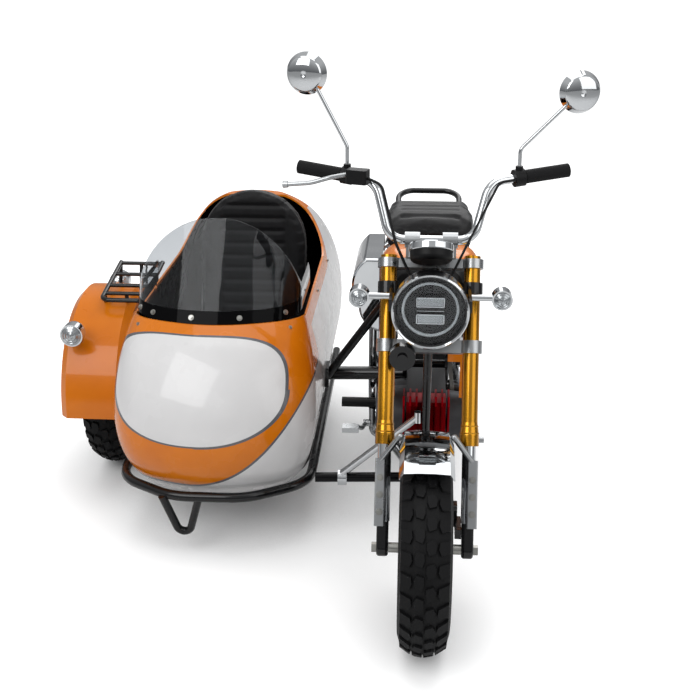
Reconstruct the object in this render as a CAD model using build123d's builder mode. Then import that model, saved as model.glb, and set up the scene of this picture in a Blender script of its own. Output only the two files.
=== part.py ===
from build123d import *
import os
from math import asin, cos, degrees, radians, sin, sqrt

# Sidecar motorcycle. While the pieces are made, X points to the rider's left, Y to the rear and
# Z up, with the ground at Z = 0 under the front axle. At the end the whole vehicle is moved so
# that the origin is on the ground, in the middle of its bounding box.

# Fits
seat_gap = 0.3              # between curved faces that seat on each other
running_gap = 0.08          # radial, a spinning hub on its axle
end_gap = 0.5               # along an axle, beside a spinning hub

# Wheels
front_tyre_radius = 248.0
front_tyre_width = 120.0
rear_tyre_radius = 256.0
rear_tyre_width = 130.0
bead_radius = 152.4
flange_radius = 166.0
rim_half_width = 46.0
rim_wall = 9.0
tyre_wall = 10.0
bead_inset = 2.5            # of a tyre's bead, inside the rim's flange
hub_radius = 34.0
hub_length = 84.0
spoke_count = 5
spoke_width = 26.0
spoke_depth = 34.0
wheelbase = 1155.0
axle_radius = 8.0
sidecar_wheel_x = -975.0
sidecar_wheel_y = 940.0

# Steering and fork
rake = 25.0
fork_offset = 30.5          # steering axis behind the legs, square to it
leg_half_spacing = 99.6
inner_tube_radius = 16.0
outer_tube_radius = 19.5
outer_tube_flare = 23.0
outer_tube_start = 243.0    # distances along a leg, from the axle
outer_tube_end = 694.0
lower_clamp_at = 462.0
lower_clamp_height = 30.0
top_clamp_at = 664.0
top_clamp_height = 22.0
clamp_wall = 7.0
stem_radius = 13.0
head_tube_radius = 26.0
axle_half_length = 124.0
foot_radius = 21.0

# Handlebar
bar_radius = 11.0
bar_bend = 55.0
bar_centre = Vector(0, 298, 915)
bar_knee = Vector(-136, 346, 1046)
bar_low = Vector(-100, 298, 915)
bar_end = Vector(-320, 405, 1064)
grip_length = 105.0
grip_radius = 16.5

# Lamps and instruments
headlamp_centre = Vector(0, 100, 800)
headlamp_radius = 88.0
headlamp_depth = 98.0
rim_ring_width = 10.0
indicator_radius = 24.0
gauge_radius = 50.0

# Sidecar body: half widths and ends at each height, as plan outlines
body_x = -575.0
body_wall = 6.0
rim_front_height = 626.0
rim_side_height = 604.0
hull_sections = (
    # height, half width, nose y, tail y
    (95.0, 128.0, 560.0, 1330.0),
    (130.0, 190.0, 445.0, 1450.0),
    (340.0, 275.0, 290.0, 1645.0),
    (590.0, 246.0, 418.0, 1620.0),
    (730.0, 166.0, 640.0, 1480.0),
    (775.0, 100.0, 800.0, 1400.0),
)
nose_roundness = 1.5        # radius of the nose arc over the half width
cheek_roundness = 0.55      # radius of the corner arcs over the half width
shoulder_y = 1330.0         # where the rim has risen to the top of the hump

# Windscreen
screen_height = 252.0
screen_half_width = 232.0
screen_rake = 31.0
screen_wall = 4.0

# Sidecar chassis
rail_radius = 13.5
rail_height = 190.0
rail_half_spacing = 262.0
rail_front_y = 318.0
rail_rear_y = 1420.0

pieces = []


def finish(builder, label):
    """Names a finished piece and puts it on the list of pieces."""
    builder.part.label = label
    pieces.append(builder.part)


def tube(points, radius, bends):
    """A round bar along straight runs joined by bends, added to the piece being made."""
    with BuildPart() as bar:
        with BuildLine() as route:
            FilletPolyline(*points, radius=bends)
        path = route.wire()
        with BuildSketch(Plane(origin=path @ 0, z_dir=path % 0)):
            Circle(radius)
        sweep(path=path)
    add(bar.part)


def rod(start, end, radius, mode=Mode.ADD):
    """A straight round bar between two points."""
    start, end = Vector(*start), Vector(*end)
    with BuildPart() as bar:
        with BuildSketch(Plane(origin=start, z_dir=end - start)):
            Circle(radius)
        extrude(amount=(end - start).length)
    add(bar.part, mode=mode)


def block(low, high, mode=Mode.ADD):
    """A box between its lowest and highest corners."""
    with Locations((Vector(*low) + Vector(*high)) * 0.5):
        Box(*(Vector(*high) - Vector(*low)), mode=mode)


def across(x):
    """A plane square to X at the given x, with its own x along Y and its own y along Z."""
    return Plane(origin=(x, 0, 0), x_dir=(0, 1, 0), z_dir=(1, 0, 0))


def mirrored(point):
    """The same point on the other side of the motorcycle."""
    return Vector(-point.X, point.Y, point.Z)


front_axle_centre = Vector(0, 0, front_tyre_radius)
rear_axle_centre = Vector(0, wheelbase, rear_tyre_radius)
sidecar_axle_centre = Vector(sidecar_wheel_x, sidecar_wheel_y, front_tyre_radius)

# The fork's own plane: x to the rider's left, y square to the legs and backwards, z up the legs
fork = Plane(
    origin=front_axle_centre, x_dir=(1, 0, 0), z_dir=(0, sin(radians(rake)), cos(radians(rake)))
)
leg_places = ((-leg_half_spacing, 0), (leg_half_spacing, 0))
stem_place = (0, fork_offset)


def on_fork(x, back, along):
    """A point given in the fork's own plane."""
    return fork.from_local_coords(Vector(x, back, along))


# Tyres and wheels
def make_tyre(centre, radius, width):
    half = width / 2
    bead = rim_half_width - bead_inset
    bead_seat = bead_radius + seat_gap
    widest = bead_radius + 0.46 * (radius - bead_radius)
    under_tread = radius - 1.6 * tyre_wall
    with BuildPart() as tyre:
        with BuildSketch(Plane(origin=centre, x_dir=(1, 0, 0), z_dir=(0, -1, 0))):
            with BuildLine():
                Polyline(
                    (bead, bead_seat), (half, widest), (half - 5, radius - 20), (half * 0.58, radius),
                    (-half * 0.58, radius), (-half + 5, radius - 20), (-half, widest), (-bead, bead_seat),
                    (tyre_wall - bead, bead_seat), (2 * tyre_wall - half, under_tread),
                    (half - 2 * tyre_wall, under_tread), (bead - tyre_wall, bead_seat),
                    close=True,
                )
            make_face()
        revolve(axis=Axis(centre, (1, 0, 0)))
    return tyre


def make_rim(centre):
    """A cast wheel: a flanged barrel, a hub and pairs of spokes that leave the hub together."""
    barrel_inner = bead_radius - rim_wall
    with BuildPart() as rim:
        with BuildSketch(Plane(origin=centre, x_dir=(1, 0, 0), z_dir=(0, -1, 0))):
            with BuildLine():
                Polyline(
                    (-rim_half_width - 4, flange_radius),
                    (-rim_half_width, bead_radius),
                    (rim_half_width, bead_radius),
                    (rim_half_width + 4, flange_radius),
                    (rim_half_width, barrel_inner),
                    (-rim_half_width, barrel_inner),
                    close=True,
                )
            make_face()
        revolve(axis=Axis(centre, (1, 0, 0)))
        wheel_plane = Plane(origin=centre - Vector(hub_length / 2, 0, 0), x_dir=(0, 1, 0), z_dir=(1, 0, 0))
        with BuildSketch(wheel_plane):
            Circle(hub_radius)
        extrude(amount=hub_length)
        spoke_reach = barrel_inner + rim_wall / 2
        with BuildSketch(wheel_plane.offset((hub_length - spoke_depth) / 2)):
            with PolarLocations(0, spoke_count):
                for lean in (-13, 13):
                    with Locations(Location((0, 0, 0), lean)):
                        with Locations((spoke_reach / 2, 0)):
                            Rectangle(spoke_reach, spoke_width * 0.62)
        extrude(amount=spoke_depth)
        with BuildSketch(wheel_plane):
            Circle(axle_radius + running_gap)
        extrude(amount=hub_length, mode=Mode.SUBTRACT)
    return rim


wheel_table = (
    # name, axle centre, tyre radius, tyre width
    ("front", front_axle_centre, front_tyre_radius, front_tyre_width),
    ("rear", rear_axle_centre, rear_tyre_radius, rear_tyre_width),
    ("sidecar", sidecar_axle_centre, front_tyre_radius, front_tyre_width),
)
for wheel_name, centre, tyre_radius, tyre_width in wheel_table:
    finish(make_tyre(centre, tyre_radius, tyre_width), f"{wheel_name}_tyre")
    finish(make_rim(centre), f"{wheel_name}_rim")

# Brake discs sit round the hubs' ends; the rear one shares a node with the rear sprocket
disc_radius = 95.0
disc_thickness = 4.0
disc_inner = 42.0
disc_inset = 6.0            # from the hub's end
disc_hole_count = 6


def side_plane(centre, x, side):
    """A plane square to an axle at a given x, facing outwards on that side."""
    return Plane(origin=(x, centre.Y, centre.Z), x_dir=(0, 1, 0), z_dir=(side, 0, 0))


def brake_disc(centre, side, radius):
    """Adds a drilled ring to the piece being made."""
    with BuildPart() as disc:
        with BuildSketch(side_plane(centre, centre.X + side * (hub_length / 2 - disc_inset), side)):
            Circle(radius)
            Circle(hub_radius + seat_gap, mode=Mode.SUBTRACT)
            with PolarLocations((radius + disc_inner) / 2, disc_hole_count):
                Circle(radius * 0.11, mode=Mode.SUBTRACT)
        extrude(amount=disc_thickness)
    add(disc.part)


with BuildPart() as front_brake_disc:
    brake_disc(front_axle_centre, 1, disc_radius)
finish(front_brake_disc, "front_brake_disc")

chain_inner_x = rear_tyre_width / 2 + 5
chain_width = 12.0
sprocket_x = chain_inner_x + chain_width / 2
sprocket_thickness = 4.0
front_sprocket_radius = 32.0
rear_sprocket_radius = 68.0
with BuildPart() as rear_disc_and_sprocket:
    brake_disc(rear_axle_centre, -1, disc_radius * 0.95)
    with BuildSketch(side_plane(rear_axle_centre, hub_length / 2 + end_gap, 1)):
        Circle(hub_radius - 4)
        Circle(axle_radius + running_gap, mode=Mode.SUBTRACT)
    extrude(amount=sprocket_x - hub_length / 2)
    with BuildSketch(side_plane(rear_axle_centre, sprocket_x - sprocket_thickness / 2, 1)):
        Circle(rear_sprocket_radius)
        Circle(axle_radius + running_gap, mode=Mode.SUBTRACT)
        with PolarLocations((rear_sprocket_radius + hub_radius - 4) / 2, 5):
            Circle(10, mode=Mode.SUBTRACT)
    extrude(amount=sprocket_thickness)
finish(rear_disc_and_sprocket, "rear_disc_and_sprocket")


def axle_sleeve(centre, start, end, side):
    """A spacer round an axle, between the hub and what carries the axle."""
    rod(centre + Vector(side * start, 0, 0), centre + Vector(side * end, 0, 0), axle_radius + 4)


# Front axle, with a nut outside each foot and a spacer inside it
nut_radius = 12.0
nut_length = 11.0
foot_half_width = 14.0
foot_inner = leg_half_spacing - foot_half_width
foot_outer = leg_half_spacing + foot_half_width
with BuildPart() as front_axle:
    rod((-axle_half_length, 0, front_tyre_radius), (axle_half_length, 0, front_tyre_radius), axle_radius)
    for side in (-1, 1):
        with BuildSketch(side_plane(front_axle_centre, side * (foot_outer + seat_gap), side)):
            RegularPolygon(nut_radius, 6)
        extrude(amount=nut_length)
        axle_sleeve(front_axle_centre, hub_length / 2 + end_gap, foot_inner - seat_gap, side)
finish(front_axle, "front_axle")

# Fork legs
foot_length = 62.0
with BuildPart() as fork_feet:
    for side in (-1, 1):
        x = side * leg_half_spacing
        with BuildSketch(side_plane(front_axle_centre, x - foot_half_width, 1)):
            Circle(foot_radius)
        extrude(amount=2 * foot_half_width)
        with BuildSketch(fork):
            with Locations((x, 0)):
                Rectangle(2 * foot_half_width, 2 * foot_radius)
        extrude(amount=foot_length)
        fillet(fork_feet.edges().filter_by(Axis(front_axle_centre, fork.z_dir)), 7)
    rod(
        (-axle_half_length, 0, front_tyre_radius), (axle_half_length, 0, front_tyre_radius),
        axle_radius + seat_gap, mode=Mode.SUBTRACT,
    )
finish(fork_feet, "fork_feet")

with BuildPart() as fork_inner_tubes:
    with BuildSketch(fork.offset(foot_length)):
        with Locations(*leg_places):
            Circle(inner_tube_radius)
    extrude(amount=outer_tube_start - foot_length)
finish(fork_inner_tubes, "fork_inner_tubes")

flare_length = 26.0
taper_length = 30.0
straight_start = outer_tube_start + flare_length + taper_length
with BuildPart() as fork_outer_tubes:
    with BuildSketch(fork.offset(outer_tube_start)):
        with Locations(*leg_places):
            Circle(outer_tube_flare)
    extrude(amount=flare_length)
    with BuildSketch(fork.offset(outer_tube_start + flare_length)):
        with Locations(*leg_places):
            Circle(outer_tube_flare)
    extrude(amount=taper_length, taper=degrees((outer_tube_flare - outer_tube_radius) / taper_length))
    with BuildSketch(fork.offset(straight_start)):
        with Locations(*leg_places):
            Circle(outer_tube_radius)
    extrude(amount=outer_tube_end - straight_start)
finish(fork_outer_tubes, "fork_outer_tubes")

# The two clamps, the stem that turns in the head tube and the handlebar's risers
riser_half_spacing = 45.0
riser_radius = 15.0
riser_clamp_wall = 8.0
riser_clamp_half = riser_radius + 3
bar_along = fork.to_local_coords(bar_centre)
with BuildPart() as triple_clamps:
    for start, height in ((lower_clamp_at, lower_clamp_height), (top_clamp_at, top_clamp_height)):
        with BuildSketch(fork.offset(start)):
            with Locations(*leg_places):
                Circle(outer_tube_radius + clamp_wall)
            with Locations((0, fork_offset / 2)):
                RectangleRounded(2 * leg_half_spacing, fork_offset + 2 * stem_radius, 12)
            with Locations(*leg_places):
                Circle(outer_tube_radius + seat_gap, mode=Mode.SUBTRACT)
        extrude(amount=height)
    with BuildSketch(fork.offset(lower_clamp_at)):
        with Locations(stem_place):
            Circle(stem_radius)
    extrude(amount=top_clamp_at + top_clamp_height - lower_clamp_at + 6)
    for side in (-1, 1):
        riser_x = side * riser_half_spacing
        with BuildSketch(fork.offset(top_clamp_at + top_clamp_height)):
            with Locations((riser_x, bar_along.Y)):
                Circle(riser_radius)
        extrude(amount=bar_along.Z - top_clamp_at - top_clamp_height)
        rod(
            bar_centre + Vector(riser_x - riser_clamp_half, 0, 0),
            bar_centre + Vector(riser_x + riser_clamp_half, 0, 0),
            bar_radius + riser_clamp_wall,
        )
    clamp_reach = Vector(riser_half_spacing + riser_clamp_half + 5, 0, 0)
    rod(bar_centre - clamp_reach, bar_centre + clamp_reach, bar_radius + seat_gap / 2, mode=Mode.SUBTRACT)
finish(triple_clamps, "triple_clamps")

# Handlebar, from grip end to grip end
bar_points = (bar_end, bar_knee, bar_low, mirrored(bar_low), mirrored(bar_knee), mirrored(bar_end))
with BuildPart() as handlebar:
    tube(bar_points, bar_radius, [bar_bend, bar_bend * 0.8, bar_bend * 0.8, bar_bend])
finish(handlebar, "handlebar")

bar_direction = (bar_end - bar_knee).normalized()


def on_bar(from_end, side=-1):
    """A point on the grip's straight run, measured from the bar's end."""
    point = bar_end - bar_direction * from_end
    return point if side < 0 else mirrored(point)


with BuildPart() as grips:
    for side in (-1, 1):
        rod(on_bar(-6, side), on_bar(grip_length, side), grip_radius)
        rod(on_bar(0, side), on_bar(grip_length + 1, side), bar_radius + seat_gap / 2, mode=Mode.SUBTRACT)
finish(grips, "grips")

# Switch housings round the bar with a boss for each mirror stem, and the brake master cylinder
housing_length = 26.0
housing_radius = 21.0
boss_radius = 9.0
boss_height = 28.0
housing_start = grip_length + 3
housing_end = housing_start + housing_length
mirror_feet = {side: on_bar(grip_length + 16, side) + Vector(0, 0, boss_height) for side in (-1, 1)}
cylinder_start = housing_end + 2
cylinder_end = cylinder_start + 20
master_centre = on_bar((cylinder_start + cylinder_end) / 2) + Vector(4, -32, 8)
with BuildPart() as hand_controls:
    for side in (-1, 1):
        rod(on_bar(housing_start, side), on_bar(housing_end, side), housing_radius)
        rod(on_bar(grip_length + 16, side), mirror_feet[side], boss_radius)
    rod(on_bar(cylinder_start), on_bar(cylinder_end), 18)
    with BuildSketch(Plane(origin=master_centre - Vector(0, 0, 16), x_dir=bar_direction, z_dir=(0, 0, 1))):
        RectangleRounded(52, 34, 6)
    extrude(amount=34)
    for side in (-1, 1):
        rod(on_bar(housing_start - 1, side), on_bar(cylinder_end + 1, side),
            bar_radius + seat_gap / 2, mode=Mode.SUBTRACT)
finish(hand_controls, "hand_controls")

with BuildPart() as brake_lever:
    lever_pivot = master_centre + bar_direction * 29.3
    tube(
        (lever_pivot, lever_pivot + Vector(-40, -8, -6), Vector(-290, 330, 1042), Vector(-352, 336, 1036)),
        5.5, [60, 120],
    )
    rod((-346, 335.4, 1036.6), (-358, 336.6, 1035.4), 8)
finish(brake_lever, "brake_lever")


# Mirrors: a stem from each housing and a round head, its glass facing the rider
mirror_radius = 50.0
mirror_depth = 18.0
mirror_stem_radius = 4.5
mirror_table = (
    # side, straight rise of the stem, head centre, yaw of the glass
    (-1, 42, Vector(-303, 400, 1289), -12),
    (1, 40, Vector(339, 400, 1251), 12),
)
with BuildPart() as mirrors:
    for side, rise, head, yaw in mirror_table:
        facing = Vector(sin(radians(-yaw)), cos(radians(yaw)), 0)
        foot = mirror_feet[side]
        stem_top = head + Vector(-side * 14, -mirror_depth * 0.45, -14)
        tube((foot, foot + Vector(0, 0, rise), stem_top), mirror_stem_radius, [25])
        with BuildSketch(Plane(origin=head, z_dir=facing)):
            Circle(mirror_radius)
        extrude(amount=-mirror_depth, taper=24)
        with BuildSketch(Plane(origin=head, z_dir=facing)):
            Circle(mirror_radius - 3)
        extrude(amount=-2.5, mode=Mode.SUBTRACT)
finish(mirrors, "mirrors")

with BuildPart() as mirror_glasses:
    for side, rise, head, yaw in mirror_table:
        facing = Vector(sin(radians(-yaw)), cos(radians(yaw)), 0)
        with BuildSketch(Plane(origin=head, z_dir=facing)):
            Circle(mirror_radius - 3 - seat_gap)
        extrude(amount=-2.5)
finish(mirror_glasses, "mirror_glasses")

# Headlamp: a bucket with its rim, the lens and the two lamp units behind it
lamp_front = Plane(origin=headlamp_centre, x_dir=(1, 0, 0), z_dir=(0, 1, 0))
with BuildPart() as headlamp_bucket:
    with BuildSketch(lamp_front.offset(14)):
        Circle(headlamp_radius - 3)
    extrude(amount=headlamp_depth - 14)
    fillet(headlamp_bucket.edges().group_by(Axis.Y)[-1], 48)
    with BuildSketch(lamp_front):
        Circle(headlamp_radius)
    extrude(amount=14)
    chamfer(headlamp_bucket.edges().group_by(Axis.Y)[0], 3)
    with BuildSketch(lamp_front):
        Circle(headlamp_radius - rim_ring_width)
    extrude(amount=44, mode=Mode.SUBTRACT)
finish(headlamp_bucket, "headlamp_bucket")

with BuildPart() as headlamp_lens:
    with BuildSketch(lamp_front.offset(5)):
        Circle(headlamp_radius - rim_ring_width - seat_gap)
    extrude(amount=3)
finish(headlamp_lens, "headlamp_lens")

lamp_unit_width = 64.0
lamp_unit_height = 22.0
lamp_unit_spacing = 40.0
with BuildPart() as headlamp_units:
    with BuildSketch(lamp_front.offset(30)):
        Circle(headlamp_radius - rim_ring_width - seat_gap)
    extrude(amount=13.5)
    with BuildSketch(lamp_front.offset(16)):
        with GridLocations(1, lamp_unit_spacing, 1, 2):
            RectangleRounded(lamp_unit_width, lamp_unit_height, 3)
    extrude(amount=14)
finish(headlamp_units, "headlamp_units")

# Lamp ears: a ring round each leg, and an arm forward to the side of the bucket
ear_height = 806.0
ear_along = (ear_height - front_tyre_radius) / cos(radians(rake))
with BuildPart() as headlamp_ears:
    for side in (-1, 1):
        x = side * leg_half_spacing
        block(
            (min(side * 88, side * 95), 128, ear_height - 14),
            (max(side * 88, side * 95), 250, ear_height + 14),
        )
        with BuildSketch(fork.offset(ear_along - 14)):
            with Locations((x, 0)):
                Circle(outer_tube_radius + 6)
        extrude(amount=28)
        with BuildSketch(fork.offset(ear_along - 50)):
            with Locations((x, 0)):
                Circle(outer_tube_radius + seat_gap / 2)
        extrude(amount=100, mode=Mode.SUBTRACT)
        rod((side * 80, 142, ear_height - 3), (side * 90, 142, ear_height - 3), 7)
    with BuildSketch(lamp_front.offset(14)):
        Circle(headlamp_radius - 3 + seat_gap / 2)
    extrude(amount=headlamp_depth, mode=Mode.SUBTRACT)
finish(headlamp_ears, "headlamp_ears")

# Front indicators on their stalks, each with its lens let into it
lens_inset = 4.0


def indicator(face, backwards, depth):
    """A round lamp with a lens in its face, added to the piece being made."""
    rod(face, face + backwards * depth, indicator_radius)
    rod(face, face + backwards * 6, indicator_radius - lens_inset, mode=Mode.SUBTRACT)
    rod(face - backwards * 2, face + backwards * 6, indicator_radius - lens_inset - seat_gap)


with BuildPart() as front_indicators:
    for side in (-1, 1):
        rod((side * 95.3, 190, 808), (side * 150, 190, 808), 8)
        indicator(Vector(side * 166, 172, 808), Vector(0, 1, 0), 34)
finish(front_indicators, "front_indicators")

# Gauge: a round housing tipped towards the rider on a bracket from the top clamp
gauge_tilt = 28.0
gauge_plane = Plane(
    origin=(0, 232, 922), x_dir=(1, 0, 0), z_dir=(0, sin(radians(gauge_tilt)), cos(radians(gauge_tilt)))
)
with BuildPart() as gauge:
    with BuildSketch(gauge_plane):
        Circle(gauge_radius)
    extrude(amount=-42)
    fillet(gauge.edges().group_by(Axis.Z)[0], 12)
    with BuildSketch(gauge_plane):
        Circle(gauge_radius - 5)
    extrude(amount=-3, mode=Mode.SUBTRACT)
    with BuildSketch(fork.offset(top_clamp_at + top_clamp_height)):
        with Locations((0, -14)):
            Rectangle(46, 22)
    extrude(amount=26)
    with BuildSketch(gauge_plane):
        Circle(gauge_radius - 5 - seat_gap)
    extrude(amount=-3)
finish(gauge, "gauge")

# Horn on a bracket under the lower clamp
with BuildPart() as horn:
    rod((-62, 140, 672), (-62, 166, 672), 31)
    rod((-62, 132, 672), (-62, 141, 672), 12)
    block((-70, 166, 655), (-54, 182, 671))
    with BuildSketch(fork.offset(lower_clamp_at - 6)):
        with Locations((-62, -2)):
            Rectangle(24, 30)
    extrude(amount=6)
finish(horn, "horn")

# Front mudguard: part of a turn about the axle, and the polished stays that carry it
mudguard_radius = 278.0
mudguard_half_width = 62.0
mudguard_depth = 24.0
mudguard_wall = 2.5
mudguard_start = 28.0
mudguard_end = 113.5
shoulder_share = 0.82       # where a mudguard's crown turns down, over its half width
shoulder_drop = 0.12        # how far it has dropped there, over its depth


def arched_guard(centre, radius, half_width, wall, depth, start, end):
    """A channel-shaped mudguard turned about an axle, from one angle above the rear to another."""
    shoulder_x, shoulder_z = half_width * shoulder_share, radius - depth * shoulder_drop
    with BuildPart() as guard:
        angle = radians(start)
        with BuildSketch(Plane(origin=centre, x_dir=(1, 0, 0), z_dir=(0, -sin(angle), cos(angle)))):
            with BuildLine():
                Polyline(
                    (-half_width, radius - depth), (-shoulder_x, shoulder_z), (-half_width * 0.3, radius),
                    (half_width * 0.3, radius), (shoulder_x, shoulder_z), (half_width, radius - depth),
                    (half_width - wall, radius - depth), (shoulder_x - wall, shoulder_z - wall),
                    (half_width * 0.3, radius - wall), (-half_width * 0.3, radius - wall),
                    (wall - shoulder_x, shoulder_z - wall), (wall - half_width, radius - depth),
                    close=True,
                )
            make_face()
        revolve(axis=Axis(centre, (1, 0, 0)), revolution_arc=end - start)
    return guard


front_mudguard = arched_guard(
    front_axle_centre, mudguard_radius, mudguard_half_width, mudguard_wall, mudguard_depth, mudguard_start,
    mudguard_end,
)
finish(front_mudguard, "front_mudguard")

# Each stay lies in front of its leg and reaches up to an eye on the side of the mudguard
stay_width = 24.0
stay_thickness = 14.0
stay_low = 52.0
stay_high = 210.0
stay_x = leg_half_spacing + 8
stay_back = -foot_radius - stay_thickness / 2 - seat_gap
eye_radius = 7.0
eye_angle = 75.8
guard_shoulder = Vector(
    mudguard_half_width * shoulder_share, mudguard_radius - mudguard_depth * shoulder_drop
)
guard_edge = Vector(mudguard_half_width, mudguard_radius - mudguard_depth)
guard_side = guard_shoulder - guard_edge
outwards = Vector(guard_side.Y, -guard_side.X).normalized()
eye = (guard_shoulder + guard_edge) * 0.5 + outwards * (eye_radius + seat_gap)
with BuildPart() as mudguard_stays:
    for side in (-1, 1):
        with BuildSketch(fork.offset(stay_low)):
            with Locations((side * stay_x, stay_back)):
                RectangleRounded(stay_width, stay_thickness, 3)
        extrude(amount=stay_high - stay_low)
        eye_centre = front_axle_centre + Vector(
            side * eye.X, eye.Y * cos(radians(eye_angle)), eye.Y * sin(radians(eye_angle))
        )
        rod(on_fork(side * stay_x, stay_back, stay_high - 5), eye_centre, eye_radius)
        with Locations(eye_centre):
            Sphere(eye_radius)
finish(mudguard_stays, "mudguard_stays")

# Front brake caliper behind the left foot, over the disc, on an arm along the foot's inner face
caliper_centre = (76, 300)
pad_gap = 5.0
disc_face = hub_length / 2 - disc_inset
with BuildPart() as front_caliper:
    with BuildSketch(across(30)):
        with Locations(caliper_centre):
            RectangleRounded(34, 58, 6)
    extrude(amount=46)
    with BuildSketch(across(disc_face - pad_gap)):
        with Locations(caliper_centre):
            Rectangle(60, 80)
    extrude(amount=disc_thickness + 2 * pad_gap, mode=Mode.SUBTRACT)
    block((70, 14, 268), (foot_inner - seat_gap, 80, 292))
finish(front_caliper, "front_brake_caliper")

# Motorcycle frame: head tube, backbone, pivot plates and the rails under the saddle
frame_plate_half = 58.0
frame_plate_wall = 8.0
pivot_y = 775.0
pivot_z = 322.0
backbone_radius = 26.0
seat_rail_radius = 11.0
seat_rail_half = 76.0
seat_rail_z = 748.0
seat_rail_rise = 22.0 / 340.0
shock_top_y = 1010.0
shock_top_z = 700.0
guard_post_y = 1175.0
rear_guard_radius = 296.0
head_tube_low = on_fork(0, fork_offset, lower_clamp_at + lower_clamp_height + end_gap)
head_tube_high = on_fork(0, fork_offset, top_clamp_at - end_gap)
backbone_front = on_fork(0, fork_offset, 590)
backbone_bend = Vector(0, 420, 690)
backbone_rear = Vector(0, 660, 560)


def seat_rail_height(y):
    """Height of the seat rails' centre behind their bend."""
    return seat_rail_z + seat_rail_rise * (y - 860)


def backbone_height(y):
    """Height of the backbone's centre behind its bend."""
    run = backbone_rear - backbone_bend
    return backbone_bend.Z + run.Z * (y - backbone_bend.Y) / run.Y


with BuildPart() as main_frame:
    rod(head_tube_low, head_tube_high, head_tube_radius)
    tube((backbone_front, backbone_bend, backbone_rear), backbone_radius, [220])
    for side in (-1, 1):
        with BuildSketch(across(side * frame_plate_half - frame_plate_wall / 2)):
            with BuildLine():
                Polyline(
                    (620, 600), (700, 600), (800, 380), (815, 300), (770, 268), (735, 268), (690, 430),
                    close=True,
                )
            make_face()
        extrude(amount=frame_plate_wall)
    rod((-frame_plate_half - 4, 668, 566), (frame_plate_half + 4, 668, 566), 16)
    rod((-frame_plate_half - 4, 745, 418), (frame_plate_half + 4, 745, 418), 12)
    for side in (-1, 1):
        tube(
            (
                (side * frame_plate_half, 690, 560),
                (side * (frame_plate_half + 6), 730, 690),
                (side * seat_rail_half, 860, seat_rail_z),
                (side * seat_rail_half, 1200, seat_rail_z + 22),
            ),
            seat_rail_radius, [60, 120],
        )
    for y in (900, guard_post_y):
        rod((-seat_rail_half, y, seat_rail_height(y)), (seat_rail_half, y, seat_rail_height(y)), 9)
    for side in (-1, 1):
        # The shock absorber's upper eye on its bracket from the seat rail
        rail_spot = Vector(side * seat_rail_half, shock_top_y, seat_rail_height(shock_top_y))
        rod(rail_spot, (side * 118, shock_top_y, 705), 8)
        rod((side * 92, shock_top_y, shock_top_z), (side * 124, shock_top_y, shock_top_z), 10)
        # Posts down to the crown of the rear mudguard
        rod(
            (side * 14, guard_post_y, seat_rail_height(guard_post_y)),
            (side * 14, wheelbase, rear_tyre_radius + rear_guard_radius + 2 * seat_gap), 6,
        )
    rod(head_tube_low, head_tube_high, stem_radius + seat_gap, mode=Mode.SUBTRACT)
finish(main_frame, "main_frame")


def between(x_one, x_other, low, high):
    """A box whose sides along X may be given in either order; low and high are (y, z)."""
    block((min(x_one, x_other), *low), (max(x_one, x_other), *high))


# Painted side covers: the front ones beside the backbone, folded inwards at their front edge,
# and the rear ones under the saddle
cover_x = 122.0
cover_wall = 3.0
cover_front = 392.0
cover_pin_y = 590.0
cover_pin_z = backbone_height(cover_pin_y)
rear_cover_x = 100.0
with BuildPart() as side_covers:
    for side in (-1, 1):
        with BuildSketch(across(side * cover_x - cover_wall / 2)):
            with BuildLine():
                FilletPolyline(
                    (cover_front, 610), (560, 630), (640, 560), (600, 470), (cover_front, 452),
                    radius=12, close=True,
                )
            make_face()
        extrude(amount=cover_wall)
        for inner_x, low, high in ((52, 566, 606), (84, 466, 570)):
            between(
                side * inner_x, side * (cover_x - 1), (cover_front, low), (cover_front + cover_wall, high)
            )
        rod(
            (side * (backbone_radius + seat_gap), cover_pin_y, cover_pin_z),
            (side * (cover_x - 1), cover_pin_y, cover_pin_z), 7,
        )
        with BuildSketch(across(side * rear_cover_x - cover_wall)):
            with BuildLine():
                Polyline((716, 762), (900, 766), (930, 700), (850, 610), (740, 600), close=True)
            make_face()
        extrude(amount=2 * cover_wall)
        rod((side * 76.6, 740, 700), (side * rear_cover_x, 740, 700), 7)
finish(side_covers, "side_covers")

# Subframe that carries the sidecar: a collar on the backbone, the tube in front of the engine
# and the rail under it, with a plate bolted on each of the frame's plates
down_tube_radius = 11.0
backbone_direction = (backbone_bend - backbone_front).normalized()
collar_centre = backbone_front + backbone_direction * 70
collar_half = backbone_direction * 16
subframe_foot_z = 214.0
down_tube_bend = Vector(0, 372, 440)
down_tube_low = Vector(0, 405, 200)
under_rail_z = down_tube_low.Z
plate_bolt_y = 745.0
frame_plate_outer = frame_plate_half + frame_plate_wall / 2
with BuildPart() as sidecar_subframe:
    rod(collar_centre - collar_half, collar_centre + collar_half, backbone_radius + 7)
    tube(
        (
            collar_centre, down_tube_bend, down_tube_low, Vector(0, 620, under_rail_z),
            Vector(0, plate_bolt_y, subframe_foot_z),
        ),
        down_tube_radius, [400, 45, 200],
    )
    rod((-60, plate_bolt_y, subframe_foot_z), (60, plate_bolt_y, subframe_foot_z), 14)
    for side in (-1, 1):
        between(side * (frame_plate_outer + seat_gap), side * 70, (725, 205), (765, 300))
        between(side * 54, side * 70, (725, 205), (765, 222))
    rod(
        collar_centre - collar_half * 2, collar_centre + collar_half * 2,
        backbone_radius + seat_gap, mode=Mode.SUBTRACT,
    )
finish(sidecar_subframe, "sidecar_subframe")

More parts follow.
